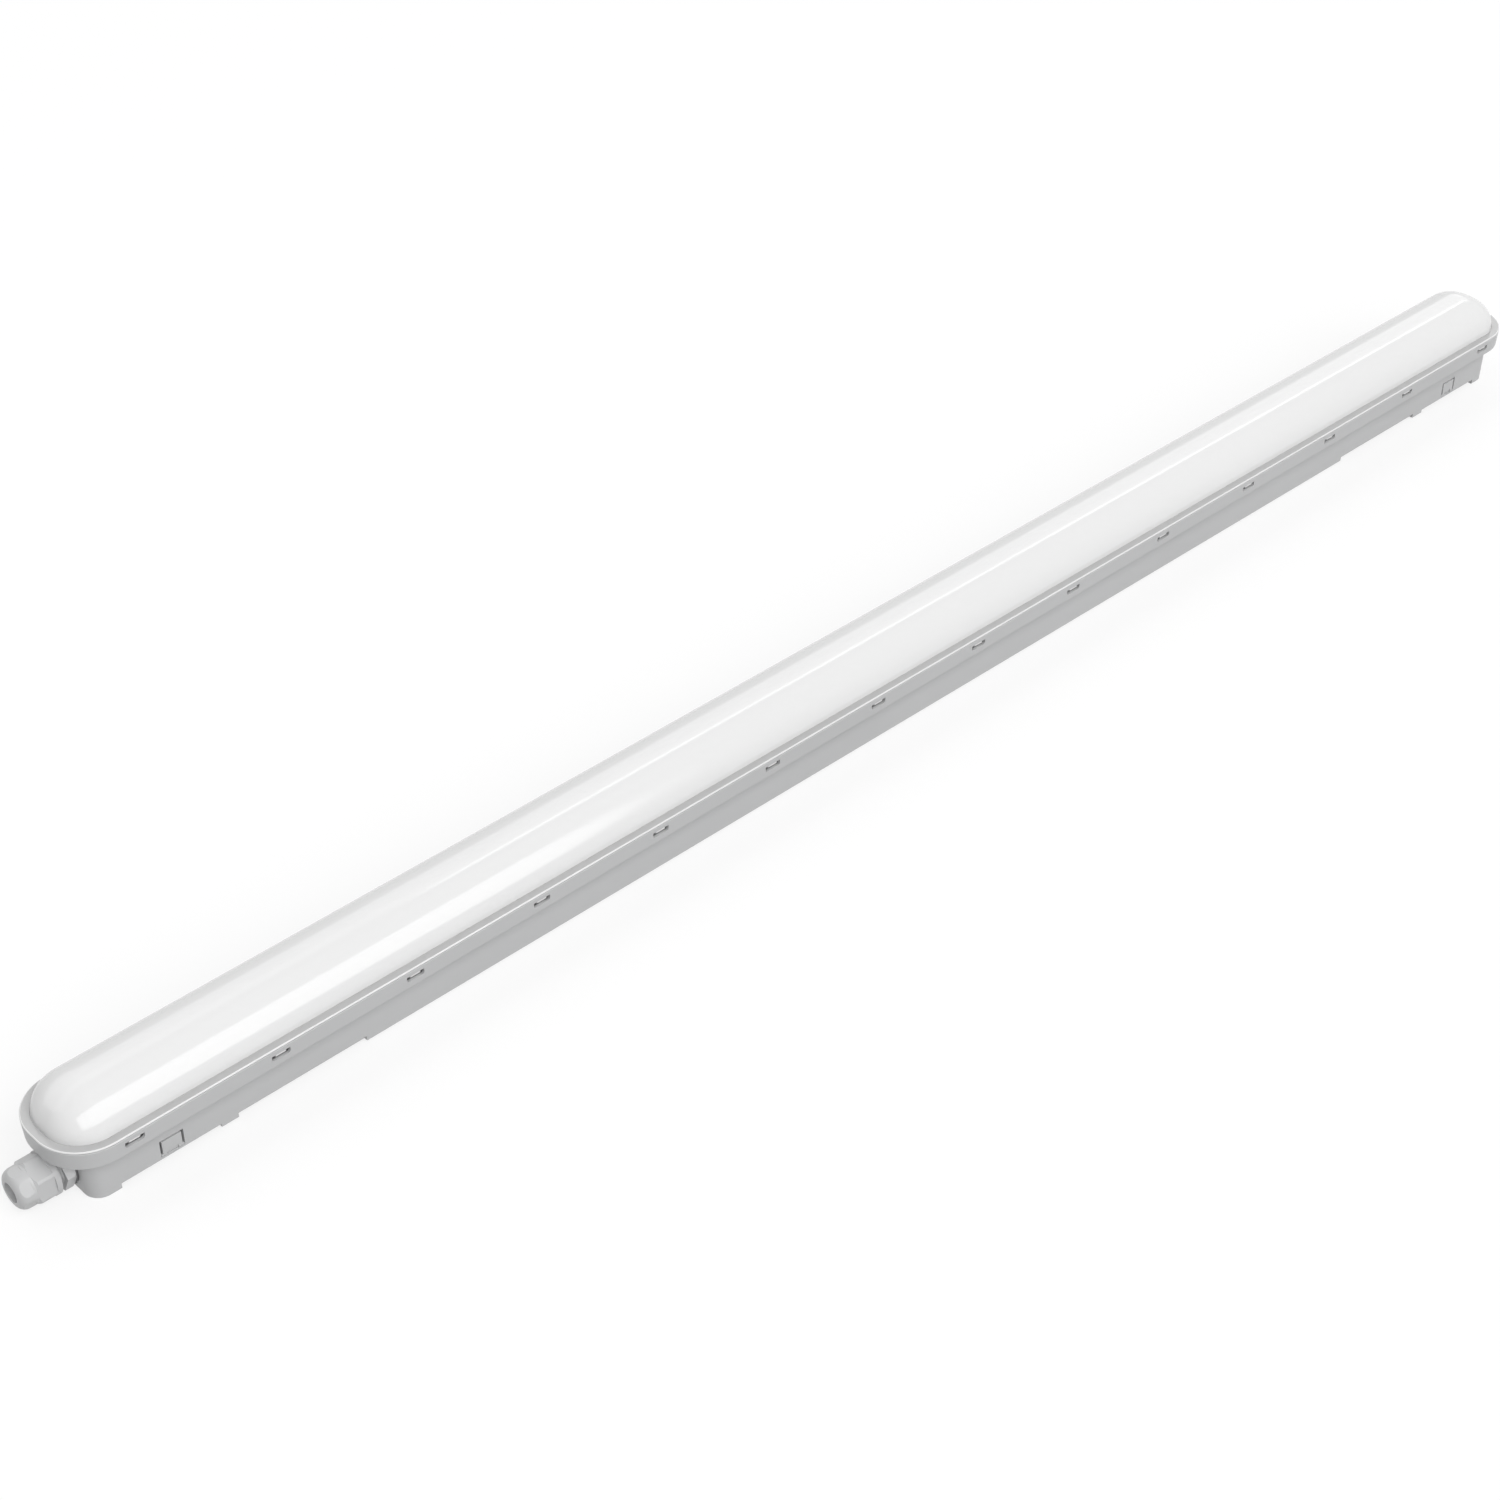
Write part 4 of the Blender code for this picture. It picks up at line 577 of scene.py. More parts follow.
def arch_rings(inset, base, height):
    """Rings from the arch's foot to its crest. The half width, and the corners, shrink in the same share."""
    half_width = COVER_HALF_WIDTH - inset
    half_length = RIM_LENGTH / 2 - COVER_INSET - inset
    corner = RIM_CORNER - COVER_INSET - inset
    last = 1 - CREST_WIDTH / 2 / half_width
    rings = []
    for step in range(ARCH_STEPS + 1):
        share = last * (step / ARCH_STEPS) ** ARCH_STEP_POWER
        rise = height * (1 - (1 - share) ** ARCH_POWER) ** (1 / ARCH_POWER)
        width = half_width * (1 - share)
        length = half_length - half_width * share
        rings.append(outline(length, width, corner * (1 - share), base + rise))
    return rings


def hook_helper():
    """The legs that hang from the brim, each with a barb that snaps into a window, as one helper."""
    bm = bmesh.new()
    outside = BAND_INSIDE - SEAT_GAP
    inside = outside - HOOK_LEG
    tip = BAND_INSIDE + HOOK_REACH
    root = BRIM_LOW + BRIM_EDGE / 2
    top = WINDOW_TOP - SEAT_GAP
    low = top - HOOK_TIP
    foot = low - HOOK_RAMP
    section = (
        (inside, root), (outside, root), (outside, top), (tip, top), (tip, low), (outside, foot),
        (inside, foot),
    )
    half = HOOK_WIDTH / 2
    for x in window_places():
        for side in (-1, 1):
            start = [Vector((x - half, side * y, z)) for y, z in section]
            end = [Vector((x + half, side * y, z)) for y, z in section]
            add_prism(bm, start, end)
    bmesh.ops.recalc_face_normals(bm, faces=bm.faces)
    return helper("hook_helper", bm)


def tab_face():
    """How far from the middle a tab's outer face lies: flush with the drafted wall at the tab's top."""
    share = (TAB_ROOT_HEIGHT + TAB_HEIGHT) / BODY_DEPTH
    return BODY_WIDTH / 2 - BODY_DRAFT * (1 - share)


def hexagon_helper(name, sections, turn_deg):
    """A six-sided bar with one (x, width across flats) pair for each section."""
    bm = skin([hexagon(flats, x, turn_deg) for x, flats in sections])
    return helper(name, bm)


def nut_cavity():
    """The nut's bore: the mouth, the seat that presses the seal, and the threaded part, front to back."""
    seat = NUT_FRONT + MOUTH_WALL
    thread = BARREL_RADIUS + THREAD_CLEARANCE
    slope = thread - MOUTH_RADIUS
    return [(seat, MOUTH_RADIUS), (seat + slope, thread), (NUT_BACK, thread)]


def new_material(name, colour, roughness, metallic=0.0, ior=1.5):
    """A plain material with uniform numbers."""
    made = bpy.data.materials.new(name)
    made.use_nodes = True
    shader = made.node_tree.nodes["Principled BSDF"]
    shader.inputs["Base Color"].default_value = colour
    shader.inputs["Roughness"].default_value = roughness
    shader.inputs["Metallic"].default_value = metallic
    shader.inputs["IOR"].default_value = ior
    return made


def add_node(material, kind, **values):
    """A node with some of its inputs set by name."""
    node = material.node_tree.nodes.new(kind)
    for name, value in values.items():
        node.inputs[name].default_value = value
    return node


def link(material, source, target):
    material.node_tree.links.new(source, target)


def object_point(material):
    return add_node(material, "ShaderNodeTexCoord").outputs["Object"]


def add_grain(material, scale, distance):
    """A fine bump all over, as a moulded or painted surface has."""
    noise = add_node(material, "ShaderNodeTexNoise", Scale=scale, Detail=GRAIN_DETAIL)
    link(material, object_point(material), noise.inputs["Vector"])
    bump = add_node(material, "ShaderNodeBump", Strength=GRAIN_STRENGTH, Distance=distance)
    link(material, noise.outputs["Fac"], bump.inputs["Height"])
    shader = material.node_tree.nodes["Principled BSDF"]
    link(material, bump.outputs["Normal"], shader.inputs["Normal"])


def add_variation(material, scale, colour, spread):
    """The colour, lighter and darker by a small share from place to place."""
    noise = add_node(material, "ShaderNodeTexNoise", Scale=scale, Detail=PATCH_DETAIL)
    link(material, object_point(material), noise.inputs["Vector"])
    ramp = add_node(material, "ShaderNodeValToRGB")
    low, high = ramp.color_ramp.elements
    low.position, high.position = PATCH_RANGE
    low.color = [channel * (1 - spread) for channel in colour[:3]] + [1]
    high.color = [min(1, channel * (1 + spread)) for channel in colour[:3]] + [1]
    link(material, noise.outputs["Fac"], ramp.inputs["Fac"])
    shader = material.node_tree.nodes["Principled BSDF"]
    link(material, ramp.outputs["Color"], shader.inputs["Base Color"])


def finish(name, colour, roughness, spread, patch, grain, depth, metallic=0.0, ior=1.5):
    """A material with its colour's variation (patches per metre) and its grain (bumps per metre)."""
    made = new_material(name, colour, roughness, metallic, ior)
    add_variation(made, patch, colour, spread)
    add_grain(made, grain, depth)
    return made


def make_materials():
    """Every finish, under its slot's name. The brim's, a painted shade, and the phosphor's lie on part of a
    piece.
    """
    sleeves = {
        "live": (0.1, 0.04, 0.015, 1), "neutral": (0.02, 0.06, 0.35, 1), "earth": (0.06, 0.25, 0.04, 1),
        "red": (0.4, 0.01, 0.01, 1), "black": (0.015, 0.015, 0.015, 1),
    }
    made = {
        "housing": finish("moulded grey", HOUSING_GREY, 0.42, 0.012, 9, 1500, 0.012 * MM),
        "gland": finish("gland grey", GLAND_LOOK, 0.36, 0.015, 60, 1800, 0.01 * MM),
        "cover": finish("opal cover", OPAL_LOOK, 0.1, 0.004, 5, 160, 0.002 * MM, ior=1.49),
        # The brim's finish is the opal darkened with painted shade.
        "brim": finish("opal with painted shade", BRIM_PAINTED_SHADE, 0.1, 0.004, 5, 160, 0.002 * MM, ior=1.49),
        "rubber": finish("grey rubber", RUBBER_LOOK, 0.7, 0.06, 60, 2600, 0.02 * MM),
        "seal": finish("black rubber", SEAL_BLACK, 0.65, 0.08, 80, 2600, 0.02 * MM),
        "enamel": finish("white enamel", ENAMEL_LOOK, 0.25, 0.008, 14, 700, 0.01 * MM),
        "driver": finish("driver case", ENAMEL_LOOK, 0.45, 0.015, 20, 1200, 0.02 * MM),
        "board": finish("solder mask", BOARD_LOOK, 0.3, 0.015, 40, 1500, 0.01 * MM),
        "connector": finish("white moulding", BOARD_LOOK, 0.4, 0.015, 60, 1800, 0.012 * MM),
        "steel": finish("zinc plated steel", STEEL_LOOK, 0.3, 0.06, 400, 3000, 0.006 * MM, metallic=1.0),
    }
    for name, colour in sleeves.items():
        made[name] = finish(name + " sleeve", colour, 0.36, 0.05, 200, 1500, 0.01 * MM)
    made["phosphor"] = finish("led phosphor", PHOSPHOR, 0.35, 0.12, 900, 2500, 0.01 * MM)
    return made


def solid(name, bm):
    """Turns a bmesh into an object in the shared frame, with its faces pointing out."""
    bmesh.ops.recalc_face_normals(bm, faces=bm.faces)
    bmesh.ops.translate(bm, verts=bm.verts, vec=(CENTRE_SHIFT, 0, 0))
    mesh = bpy.data.meshes.new(name)
    bm.to_mesh(mesh)
    bm.free()
    obj = bpy.data.objects.new(name, mesh)
    bpy.context.scene.collection.objects.link(obj)
    return obj


def helper(name, bm):
    """A solid that only joins or cuts another, and goes when it has."""
    return solid(name, bm)


def combine(obj, other, operation):
    """Joins, cuts or intersects an object with a helper at once, and removes the helper."""
    modifier = obj.modifiers.new(other.name, "BOOLEAN")
    modifier.operation = operation
    modifier.solver = "EXACT"
    modifier.object = other
    graph = bpy.context.evaluated_depsgraph_get()
    mesh = bpy.data.meshes.new_from_object(obj.evaluated_get(graph))
    obj.modifiers.clear()
    old, obj.data = obj.data, mesh
    bpy.data.meshes.remove(old)
    bpy.data.objects.remove(other, do_unlink=True)


def dress(obj, looks, slot, node, edge=0.0, smooth_deg=SMOOTH_DEG, also=(), flat=True):
    """Cleans a piece, rounds its sharp edges a little, and hangs it where the node it replaces hangs."""
    bm = bmesh.new()
    bm.from_mesh(obj.data)
    bmesh.ops.remove_doubles(bm, verts=bm.verts, dist=WELD)
    bmesh.ops.dissolve_degenerate(bm, edges=bm.edges, dist=WELD)
    if flat:
        bmesh.ops.dissolve_limit(bm, angle_limit=math.radians(FLAT_DEG), verts=bm.verts, edges=bm.edges)
    bm.to_mesh(obj.data)
    bm.free()
    mesh = obj.data
    mesh.name = obj.name
    mesh.materials.clear()
    for name in (slot, *also):
        mesh.materials.append(looks[name])
    mesh.shade_smooth()
    if edge:
        rounded = obj.modifiers.new("rounded edges", "BEVEL")
        rounded.width = edge
        rounded.segments = BEVEL_SEGMENTS
        rounded.limit_method = "ANGLE"
        rounded.angle_limit = math.radians(smooth_deg)
    mesh.set_sharp_from_angle(angle=math.radians(ROUNDED_SHARP_DEG if edge else smooth_deg))
    even = obj.modifiers.new("even normals", "WEIGHTED_NORMAL")
    even.keep_sharp = True
    even.weight = AREA_WEIGHT
    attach(obj, BODY_OF.get(node, "housing_body"))
    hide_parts(node)
    return obj


def finer(nodes, node, looks, slot, edge, smooth_deg=SMOOTH_DEG, also=()):
    """A copy of a node with its edges rounded, which stands for the node."""
    obj = bpy.data.objects.new(node + "_finer", nodes[node].data.copy())
    bpy.context.scene.collection.objects.link(obj)
    return dress(obj, looks, slot, node, edge, smooth_deg, also=also)


def smooth_housing():
    """The housing's section with its outer edges rounded."""
    inner = INNER_WALL_INSET + INNER_WALL
    rings = [body_ring(BODY_DRAFT + BODY_EDGE, 0)]
    for step in range(1, EDGE_STEPS + 1):
        angle = step / EDGE_STEPS * math.pi / 2
        inset = BODY_DRAFT + BODY_EDGE * (1 - math.sin(angle))
        rings.append(body_ring(inset, BODY_EDGE * (1 - math.cos(angle))))
    rings.append(body_ring(0, BODY_DEPTH - FILLET))
    for step in range(1, EDGE_STEPS + 1):
        angle = step / EDGE_STEPS * math.pi / 2
        rings.append(body_ring(-FILLET * (1 - math.cos(angle)), BODY_DEPTH - FILLET * (1 - math.sin(angle))))
    for step in range(EDGE_STEPS + 1):
        angle = step / EDGE_STEPS * math.pi / 2
        inset = RIM_DRAFT + RIM_EDGE * (1 - math.sin(angle))
        rings.append(rim_ring(inset, BODY_DEPTH + RIM_EDGE * (1 - math.cos(angle))))
    for step in range(EDGE_STEPS + 1):
        angle = step / EDGE_STEPS * math.pi / 2
        inset = SEAM_ROUND * (1 - math.cos(angle))
        rings.append(rim_ring(inset, RIM_TOP - SEAM_ROUND * (1 - math.sin(angle))))
    rings += [
        rim_ring(BAND_WALL, RIM_TOP), rim_ring(BAND_WALL, CHANNEL_BOTTOM),
        rim_ring(INNER_WALL_INSET, CHANNEL_BOTTOM), rim_ring(INNER_WALL_INSET, INNER_WALL_TOP),
        rim_ring(inner, INNER_WALL_TOP), rim_ring(inner, CHANNEL_BOTTOM),
        outline(TROUGH_HALF_LENGTH, TROUGH_HALF_WIDTH, TROUGH_CORNER, CHANNEL_BOTTOM),
        outline(TROUGH_HALF_LENGTH, TROUGH_HALF_WIDTH, TROUGH_CORNER, FLOOR_TOP),
    ]
    return skin(rings)


def brim_rings():
    """The cover's outer side from its lower edge, round the brim, to the groove round the dome's foot."""
    rings = [
        rim_ring(COVER_INSET, COVER_BOTTOM), rim_ring(COVER_INSET, BRIM_LOW), rim_ring(SEAM_ROUND, BRIM_LOW),
    ]
    for step in range(1, EDGE_STEPS + 1):
        angle = step / EDGE_STEPS * math.pi / 2
        inset = SEAM_ROUND * (1 - math.sin(angle))
        rings.append(rim_ring(inset, BRIM_LOW + SEAM_ROUND * (1 - math.cos(angle))))
    round_centre = BRIM_LOW + BRIM_EDGE - BRIM_ROUND
    for step in range(BRIM_STEPS + 1):
        angle = step / BRIM_STEPS * math.pi / 2
        inset = BRIM_ROUND * (1 - math.cos(angle))
        rings.append(rim_ring(inset, round_centre + BRIM_ROUND * math.sin(angle)))
    foot = BRIM_LOW + BRIM_EDGE - BRIM_DISH
    rings.append(rim_ring(COVER_INSET - 2 * FOOT_GROOVE, foot))
    rings.append(rim_ring(COVER_INSET - FOOT_GROOVE, foot - FOOT_GROOVE))
    rings.append(rim_ring(COVER_INSET, foot - FOOT_GROOVE))
    return rings


def body_ring(inset, height):
    """The outline of the body under the rim, drawn in by the inset."""
    return outline(BODY_LENGTH / 2 - inset, BODY_WIDTH / 2 - inset, BODY_CORNER - inset, height)


def fine_housing(looks):
    """The housing, built again with rounded edges and finer corners."""
    obj = solid("housing_finer", smooth_housing())
    combine(obj, housing_bosses(), "UNION")
    combine(obj, window_cutter(), "DIFFERENCE")
    for cutter in back_cutter() + end_cutter():
        combine(obj, cutter, "DIFFERENCE")
    combine(obj, tab_opening_cutter(), "DIFFERENCE")
    combine(obj, tab_notch_cutter(), "DIFFERENCE")
    return dress(obj, looks, "housing", "housing", smooth_deg=28)


def fine_cover(looks):
    """The cover with its hooks. The top of its brim, inside the lip, has a darker painted shade."""
    outer = brim_rings() + arch_rings(0, COVER_BASE, ARCH_HEIGHT)
    inner = [rim_ring(COVER_INSET + COVER_WALL, COVER_BOTTOM)]
    inner += arch_rings(COVER_WALL, COVER_BASE, ARCH_HEIGHT - COVER_WALL)
    obj = solid("cover_finer", skin(outer[::-1] + inner))
    combine(obj, hook_helper(), "UNION")
    dress(obj, looks, "cover", "cover", smooth_deg=26, also=("brim",), flat=False)
    # Painted shade: the brim's level top inside the lip gets the darker brim finish.
    for face in obj.data.polygons:
        level = BRIM_LOW + BRIM_EDGE / 2 < face.center.z < COVER_BASE - FOOT_GROOVE
        if level and face.normal.z > LEVEL_NORMAL and not on_lip(face.center):
            face.material_index = 1


def on_lip(point):
    """Whether a point of the brim lies on its outer lip. Inside it, the brim's top has a painted shade."""
    along = max(0, abs(point.x - CENTRE_SHIFT) - (RIM_LENGTH / 2 - RIM_CORNER))
    across = max(0, abs(point.y) - (RIM_WIDTH / 2 - RIM_CORNER))
    return math.hypot(along, across) > RIM_CORNER - LIP_SHARE * BRIM_ROUND


def fine_gasket(looks):
    """The gasket with a rounded top that the cover's edge presses."""
    outer = COVER_INSET - GASKET_OVERHANG
    inner = INNER_WALL_INSET - SEAT_GAP
    bottom = CHANNEL_BOTTOM + SEAT_GAP
    middle, half = (outer + inner) / 2, (inner - outer) / 2
    round_base = bottom + GASKET_HEIGHT - half / 2
    rings = [rim_ring(outer, bottom)]
    for step in range(2 * EDGE_STEPS + 1):
        angle = step / (2 * EDGE_STEPS) * math.pi
        rings.append(rim_ring(middle - half * math.cos(angle), round_base + half / 2 * math.sin(angle)))
    rings.append(rim_ring(inner, bottom))
    obj = solid("gasket_finer", skin(rings, looped=True))
    return dress(obj, looks, "rubber", "gasket", smooth_deg=50)


def fine_gland(looks):
    """The gland's body with its thread, and its cap nut, both with softened corners."""
    corner = GLAND_FLATS / math.sqrt(3) + SEAT_GAP
    inside = GLAND_WALL_FACE + SPIGOT_REACH
    barrel_end = NUT_HEX_FRONT + BARREL_PAST_HEX
    profile = [(barrel_end, GLAND_BORE), (barrel_end, BARREL_RADIUS)]
    place = NUT_BACK - THREAD_PITCH
    while place < HEX_FRONT - THREAD_PITCH:
        for share, lift in THREAD_FORM:
            profile.append((place + share * THREAD_PITCH, BARREL_RADIUS - THREAD_SINK + lift * THREAD_DEPTH))
        place += THREAD_PITCH
    profile += [
        (HEX_FRONT, BARREL_RADIUS - THREAD_SINK),
        (HEX_FRONT, corner - HEX_CHAMFER), (HEX_FRONT + HEX_CHAMFER, corner),
        (HEX_BACK - HEX_BACK_CHAMFER, corner), (HEX_BACK, corner - HEX_BACK_CHAMFER),
        (HEX_BACK, SPIGOT_RADIUS), (inside, SPIGOT_RADIUS), (inside, GLAND_BORE),
    ]
    obj = solid("gland_body_finer", turned(profile))
    reach = OVERRUN + SPIGOT_REACH
    sections = ((barrel_end - OVERRUN, GLAND_FLATS), (GLAND_WALL_FACE + reach, GLAND_FLATS))
    combine(obj, hexagon_helper("body_hex_helper", sections, BODY_HEX_TURN_DEG), "INTERSECT")
    dress(obj, looks, "gland", "gland_body", smooth_deg=24)
    dress(nut_form(), looks, "gland", "gland_nut", smooth_deg=20)


def hexagon(flats, x, turn_deg):
    """A hexagon round the gland's axis with its corners softened."""
    points = []
    reach = flats / math.sqrt(3) - HEX_ROUND * (2 / math.sqrt(3))
    for corner in range(6):
        middle = math.radians(turn_deg + 60 * corner)
        for step in range(HEX_ROUND_STEPS + 1):
            angle = middle + math.radians(60) * (step / HEX_ROUND_STEPS - 0.5)
            y = -(reach * math.cos(middle) + HEX_ROUND * math.cos(angle))
            z = GLAND_HEIGHT + reach * math.sin(middle) + HEX_ROUND * math.sin(angle)
            points.append(Vector((x, y, z)))
    return points


def nut_form():
    """The cap nut: a turned dome and collar, cut to facets in front and to a hexagon behind."""
    dome = GLAND_FLATS / 2
    corner = GLAND_CORNER_RADIUS
    rise = corner - dome
    profile = []
    for step in range(EDGE_STEPS + 1):
        angle = step / EDGE_STEPS * math.pi / 2
        x = NUT_FRONT + MOUTH_ROUND * (1 - math.sin(angle))
        profile.append((x, MOUTH_RADIUS + MOUTH_ROUND * (1 - math.cos(angle))))
    for step in range(DOME_STEPS + 1):
        angle = step / DOME_STEPS * math.pi / 2
        x = NUT_FRONT + DOME_ROUND * (1 - math.cos(angle))
        profile.append((x, dome - DOME_ROUND * (1 - math.sin(angle))))
    profile += [(NUT_HEX_FRONT, dome), (NUT_HEX_FRONT + rise, corner), (NUT_BACK, corner)]
    profile += nut_cavity()[::-1]
    obj = solid("gland_nut_finer", turned(profile))
    wide = 2 * GLAND_FLATS
    facet = 2 * (dome - FACET_DEPTH)
    front = NUT_FRONT - OVERRUN
    back = NUT_BACK + OVERRUN
    start = NUT_HEX_FRONT - FACET_FROM_HEX
    lean = 2 * math.tan(math.radians(FACET_LEAN_DEG)) * (start - front)
    sections = ((front, facet - lean), (start, facet), (start, wide), (back, wide))
    combine(obj, hexagon_helper("facet_helper", sections, NUT_TURN_DEG + FLAT_TURN_DEG), "INTERSECT")
    sections = (
        (front, wide), (NUT_HEX_FRONT - OVERRUN, wide), (NUT_HEX_FRONT - OVERRUN, GLAND_FLATS),
        (NUT_HEX_BACK, GLAND_FLATS), (NUT_HEX_BACK, wide), (back, wide),
    )
    combine(obj, hexagon_helper("nut_hex_helper", sections, NUT_TURN_DEG), "INTERSECT")
    return obj


def crossed_screw(name, looks):
    """A screw of the tray or the driver, with a cross recess in its head."""
    low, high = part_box(name)
    middle = ((low[0] + high[0]) / 2 - CENTRE_SHIFT, (low[1] + high[1]) / 2)
    seat, head = high[2] - SCREW_HEAD_HEIGHT, high[2]
    profile = [(HEAD_MIDDLE, head)]
    for step in range(EDGE_STEPS + 2):
        angle = step / (EDGE_STEPS + 1) * math.pi / 2
        radius = SCREW_HEAD_RADIUS * math.sin(angle) ** HEAD_POWER
        share = HEAD_EDGE_SHARE + (1 - HEAD_EDGE_SHARE) * math.cos(angle) ** HEAD_POWER
        profile.append((max(radius, HEAD_LEAST), seat + (head - seat) * share))
    profile += [
        (SCREW_HEAD_RADIUS, seat), (SCREW_SHANK_RADIUS, seat),
        (SCREW_SHANK_RADIUS, low[2] + SCREW_SHANK_RADIUS), (SCREW_SHANK_RADIUS / 2, low[2]),
    ]
    obj = solid(name + "_finer", turned_on_z(profile, middle, HEAD_STEPS))
    for half_x, half_y in ((CROSS_REACH, CROSS_HALF), (CROSS_HALF, CROSS_REACH)):
        cross = bmesh.new()
        add_box(
            cross, (middle[0] - half_x, middle[1] - half_y, head - CROSS_DEPTH),
            (middle[0] + half_x, middle[1] + half_y, head + OVERRUN),
        )
        combine(obj, helper("cross_cutter", cross), "DIFFERENCE")
    return dress(obj, looks, "steel", name, smooth_deg=30)


def glowing_boards(nodes, looks):
    """The LED boards: white solder mask, and a yellow top on every emitter."""
    for number in range(1, BOARD_COUNT + 1):
        name = f"led_board_{number}"
        obj = finer(nodes, name, looks, "board", 0.0, also=("phosphor",))
        top = max(vertex.co.z for vertex in obj.data.vertices)
        for face in obj.data.polygons:
            if face.center.z > top - EMITTER_TOP:
                face.material_index = 1


def dress_all(nodes, looks):
    """A finer piece for every node. The small ones are copies, each with its slot and its edge in mm."""
    fine_housing(looks)
    fine_cover(looks)
    fine_gasket(looks)
    fine_gland(looks)
    glowing_boards(nodes, looks)
    for number in range(1, 5):
        finer(nodes, f"spring_tab_{number}", looks, "housing", TAB_EDGE)
        crossed_screw(f"tray_screw_{number}", looks)
    for name in ("driver_screw_1", "driver_screw_2", "earth_screw"):
        crossed_screw(name, looks)
    small = {
        "gland_washer": ("rubber", 0.15), "gland_seal": ("seal", 0.2), "grommet": ("seal", 0.15),
        "gear_tray": ("enamel", 0.25), "driver_case": ("driver", 0.5), "driver_lid": ("driver", 0.4),
        "terminal_block": ("connector", 0.25), "board_link_1": ("connector", 0.15),
        "board_link_2": ("connector", 0.15), "lead_plug": ("connector", 0.25),
        "wire_clip_1": ("connector", 0.2), "wire_clip_2": ("connector", 0.2),
        "live_wire": ("live", 0), "neutral_wire": ("neutral", 0), "earth_wire": ("earth", 0),
        "red_lead": ("red", 0), "black_lead": ("black", 0),
    }
    for name, (slot, edge) in small.items():
        finer(nodes, name, looks, slot, edge * MM, SMOOTH_DEG if edge else WIRE_SMOOTH_DEG)


def make_camera():
    """The photograph's camera."""
    data = bpy.data.cameras.new("photo camera")
    data.lens = PHOTO_LENS_MM
    data.sensor_width = SENSOR_MM
    data.clip_start, data.clip_end = CLIP_RANGE
    camera = bpy.data.objects.new("photo camera", data)
    camera.location = CAMERA_PLACE
    tilt = math.radians(90 - CAMERA_PITCH_DEG)
    camera.rotation_euler = (tilt, 0, -math.radians(CAMERA_HEADING_DEG))
    bpy.context.scene.collection.objects.link(camera)
    bpy.context.scene.camera = camera


def softbox(name, angle_deg, spread_deg, reach, radiance):
    """A rectangular light along X that faces the object. Its angle is 0 in front and 90 overhead."""
    angle = math.radians(angle_deg)
    data = bpy.data.lights.new(name, "AREA")
    data.shape = "RECTANGLE"
    data.size = (reach[1] - reach[0]) * LIGHT_DISTANCE
    data.size_y = 2 * math.tan(math.radians(spread_deg / 2)) * LIGHT_DISTANCE
    data.energy = math.pi * radiance * data.size * data.size_y
    light = bpy.data.objects.new(name, data)
    middle = (reach[0] + reach[1]) / 2
    light.location = LIGHT_DISTANCE * Vector((middle, -math.cos(angle), math.sin(angle)))
    light.rotation_euler = (math.pi / 2 - angle, 0, 0)
    bpy.context.scene.collection.objects.link(light)


def make_lights():
    boxes = {"key": KEY_BOX, "edge": EDGE_BOX, "front": FRONT_BOX, "fill": FILL_BOX}
    for name, box in boxes.items():
        softbox(name, *box)


def make_world():
    """White to the camera and in reflections, and an even pale light on the object."""
    world = bpy.data.worlds.new("studio")
    world.use_nodes = True
    bpy.context.scene.world = world
    tree = world.node_tree
    tree.nodes.clear()
    sky = tree.nodes.new("ShaderNodeBackground")
    sky.inputs["Color"].default_value = (1, 1, 1, 1)
    sky.inputs["Strength"].default_value = SKY_LEVEL
    white = tree.nodes.new("ShaderNodeBackground")
    white.inputs["Color"].default_value = (1, 1, 1, 1)
    white.inputs["Strength"].default_value = 1
    mix = tree.nodes.new("ShaderNodeMixShader")
    out = tree.nodes.new("ShaderNodeOutputWorld")
    tree.links.new(seen_directly(tree), mix.inputs["Fac"])
    tree.links.new(sky.outputs[0], mix.inputs[1])
    tree.links.new(white.outputs[0], mix.inputs[2])
    tree.links.new(mix.outputs[0], out.inputs["Surface"])


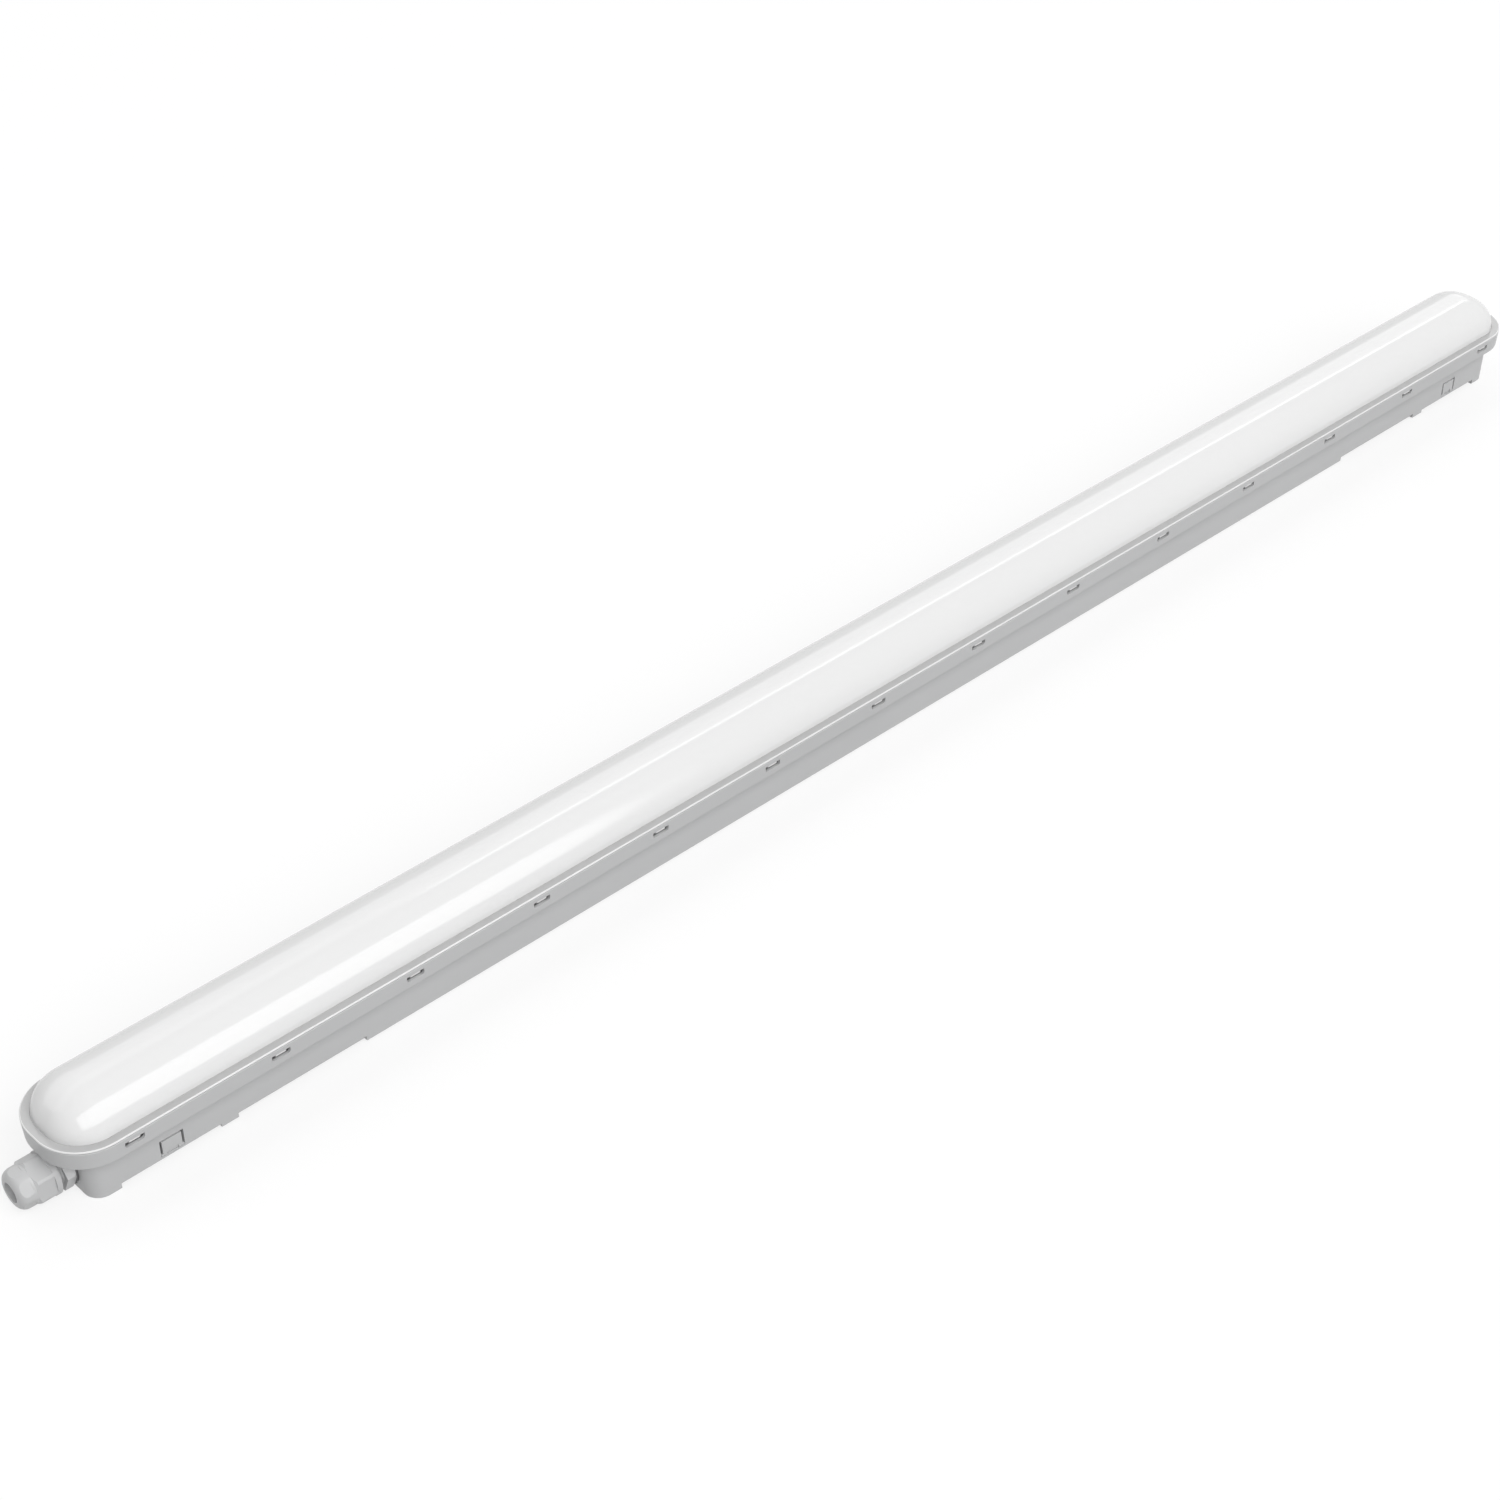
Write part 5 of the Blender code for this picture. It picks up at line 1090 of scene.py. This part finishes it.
def seen_directly(tree):
    """1 for rays from the camera, mirror-like ones and those through glass, 0 for the light on the object."""
    path = tree.nodes.new("ShaderNodeLightPath")
    first = tree.nodes.new("ShaderNodeMath")
    first.operation = "MAXIMUM"
    second = tree.nodes.new("ShaderNodeMath")
    second.operation = "MAXIMUM"
    tree.links.new(path.outputs["Is Camera Ray"], first.inputs[0])
    tree.links.new(path.outputs["Is Glossy Ray"], first.inputs[1])
    tree.links.new(first.outputs[0], second.inputs[0])
    tree.links.new(path.outputs["Is Transmission Ray"], second.inputs[1])
    return second.outputs[0]


def make_floor():
    """A white floor that keeps a faint shadow of the object."""
    mesh = bpy.data.meshes.new("floor")
    bm = bmesh.new()
    bmesh.ops.create_grid(bm, x_segments=1, y_segments=1, size=FLOOR_REACH)
    bmesh.ops.translate(bm, verts=bm.verts, vec=(0, 0, -FLOOR_SINK))
    bm.to_mesh(mesh)
    bm.free()
    floor = bpy.data.objects.new("floor", mesh)
    bpy.context.scene.collection.objects.link(floor)
    made = new_material("floor white", FLOOR_LOOK, 0.9)
    tree = made.node_tree
    shader = tree.nodes["Principled BSDF"]
    shader.inputs["Specular IOR Level"].default_value = 0
    white = tree.nodes.new("ShaderNodeEmission")
    white.inputs["Strength"].default_value = 1
    shaded = tree.nodes.new("ShaderNodeBsdfDiffuse")
    shaded.inputs["Color"].default_value = FLOOR_SEEN
    bright = tree.nodes.new("ShaderNodeMixShader")
    bright.inputs["Fac"].default_value = FLOOR_WHITE_SHARE
    tree.links.new(shaded.outputs[0], bright.inputs[1])
    tree.links.new(white.outputs[0], bright.inputs[2])
    mix = tree.nodes.new("ShaderNodeMixShader")
    tree.links.new(seen_directly(tree), mix.inputs["Fac"])
    tree.links.new(shader.outputs[0], mix.inputs[1])
    tree.links.new(bright.outputs[0], mix.inputs[2])
    tree.links.new(mix.outputs[0], tree.nodes["Material Output"].inputs["Surface"])
    mesh.materials.append(made)


def main():
    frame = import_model()
    looks = make_materials()
    dress_all(frame["nodes"], looks)
    make_camera()
    make_lights()
    make_world()
    make_floor()
    bpy.context.scene.view_settings.view_transform = "Standard"


main()
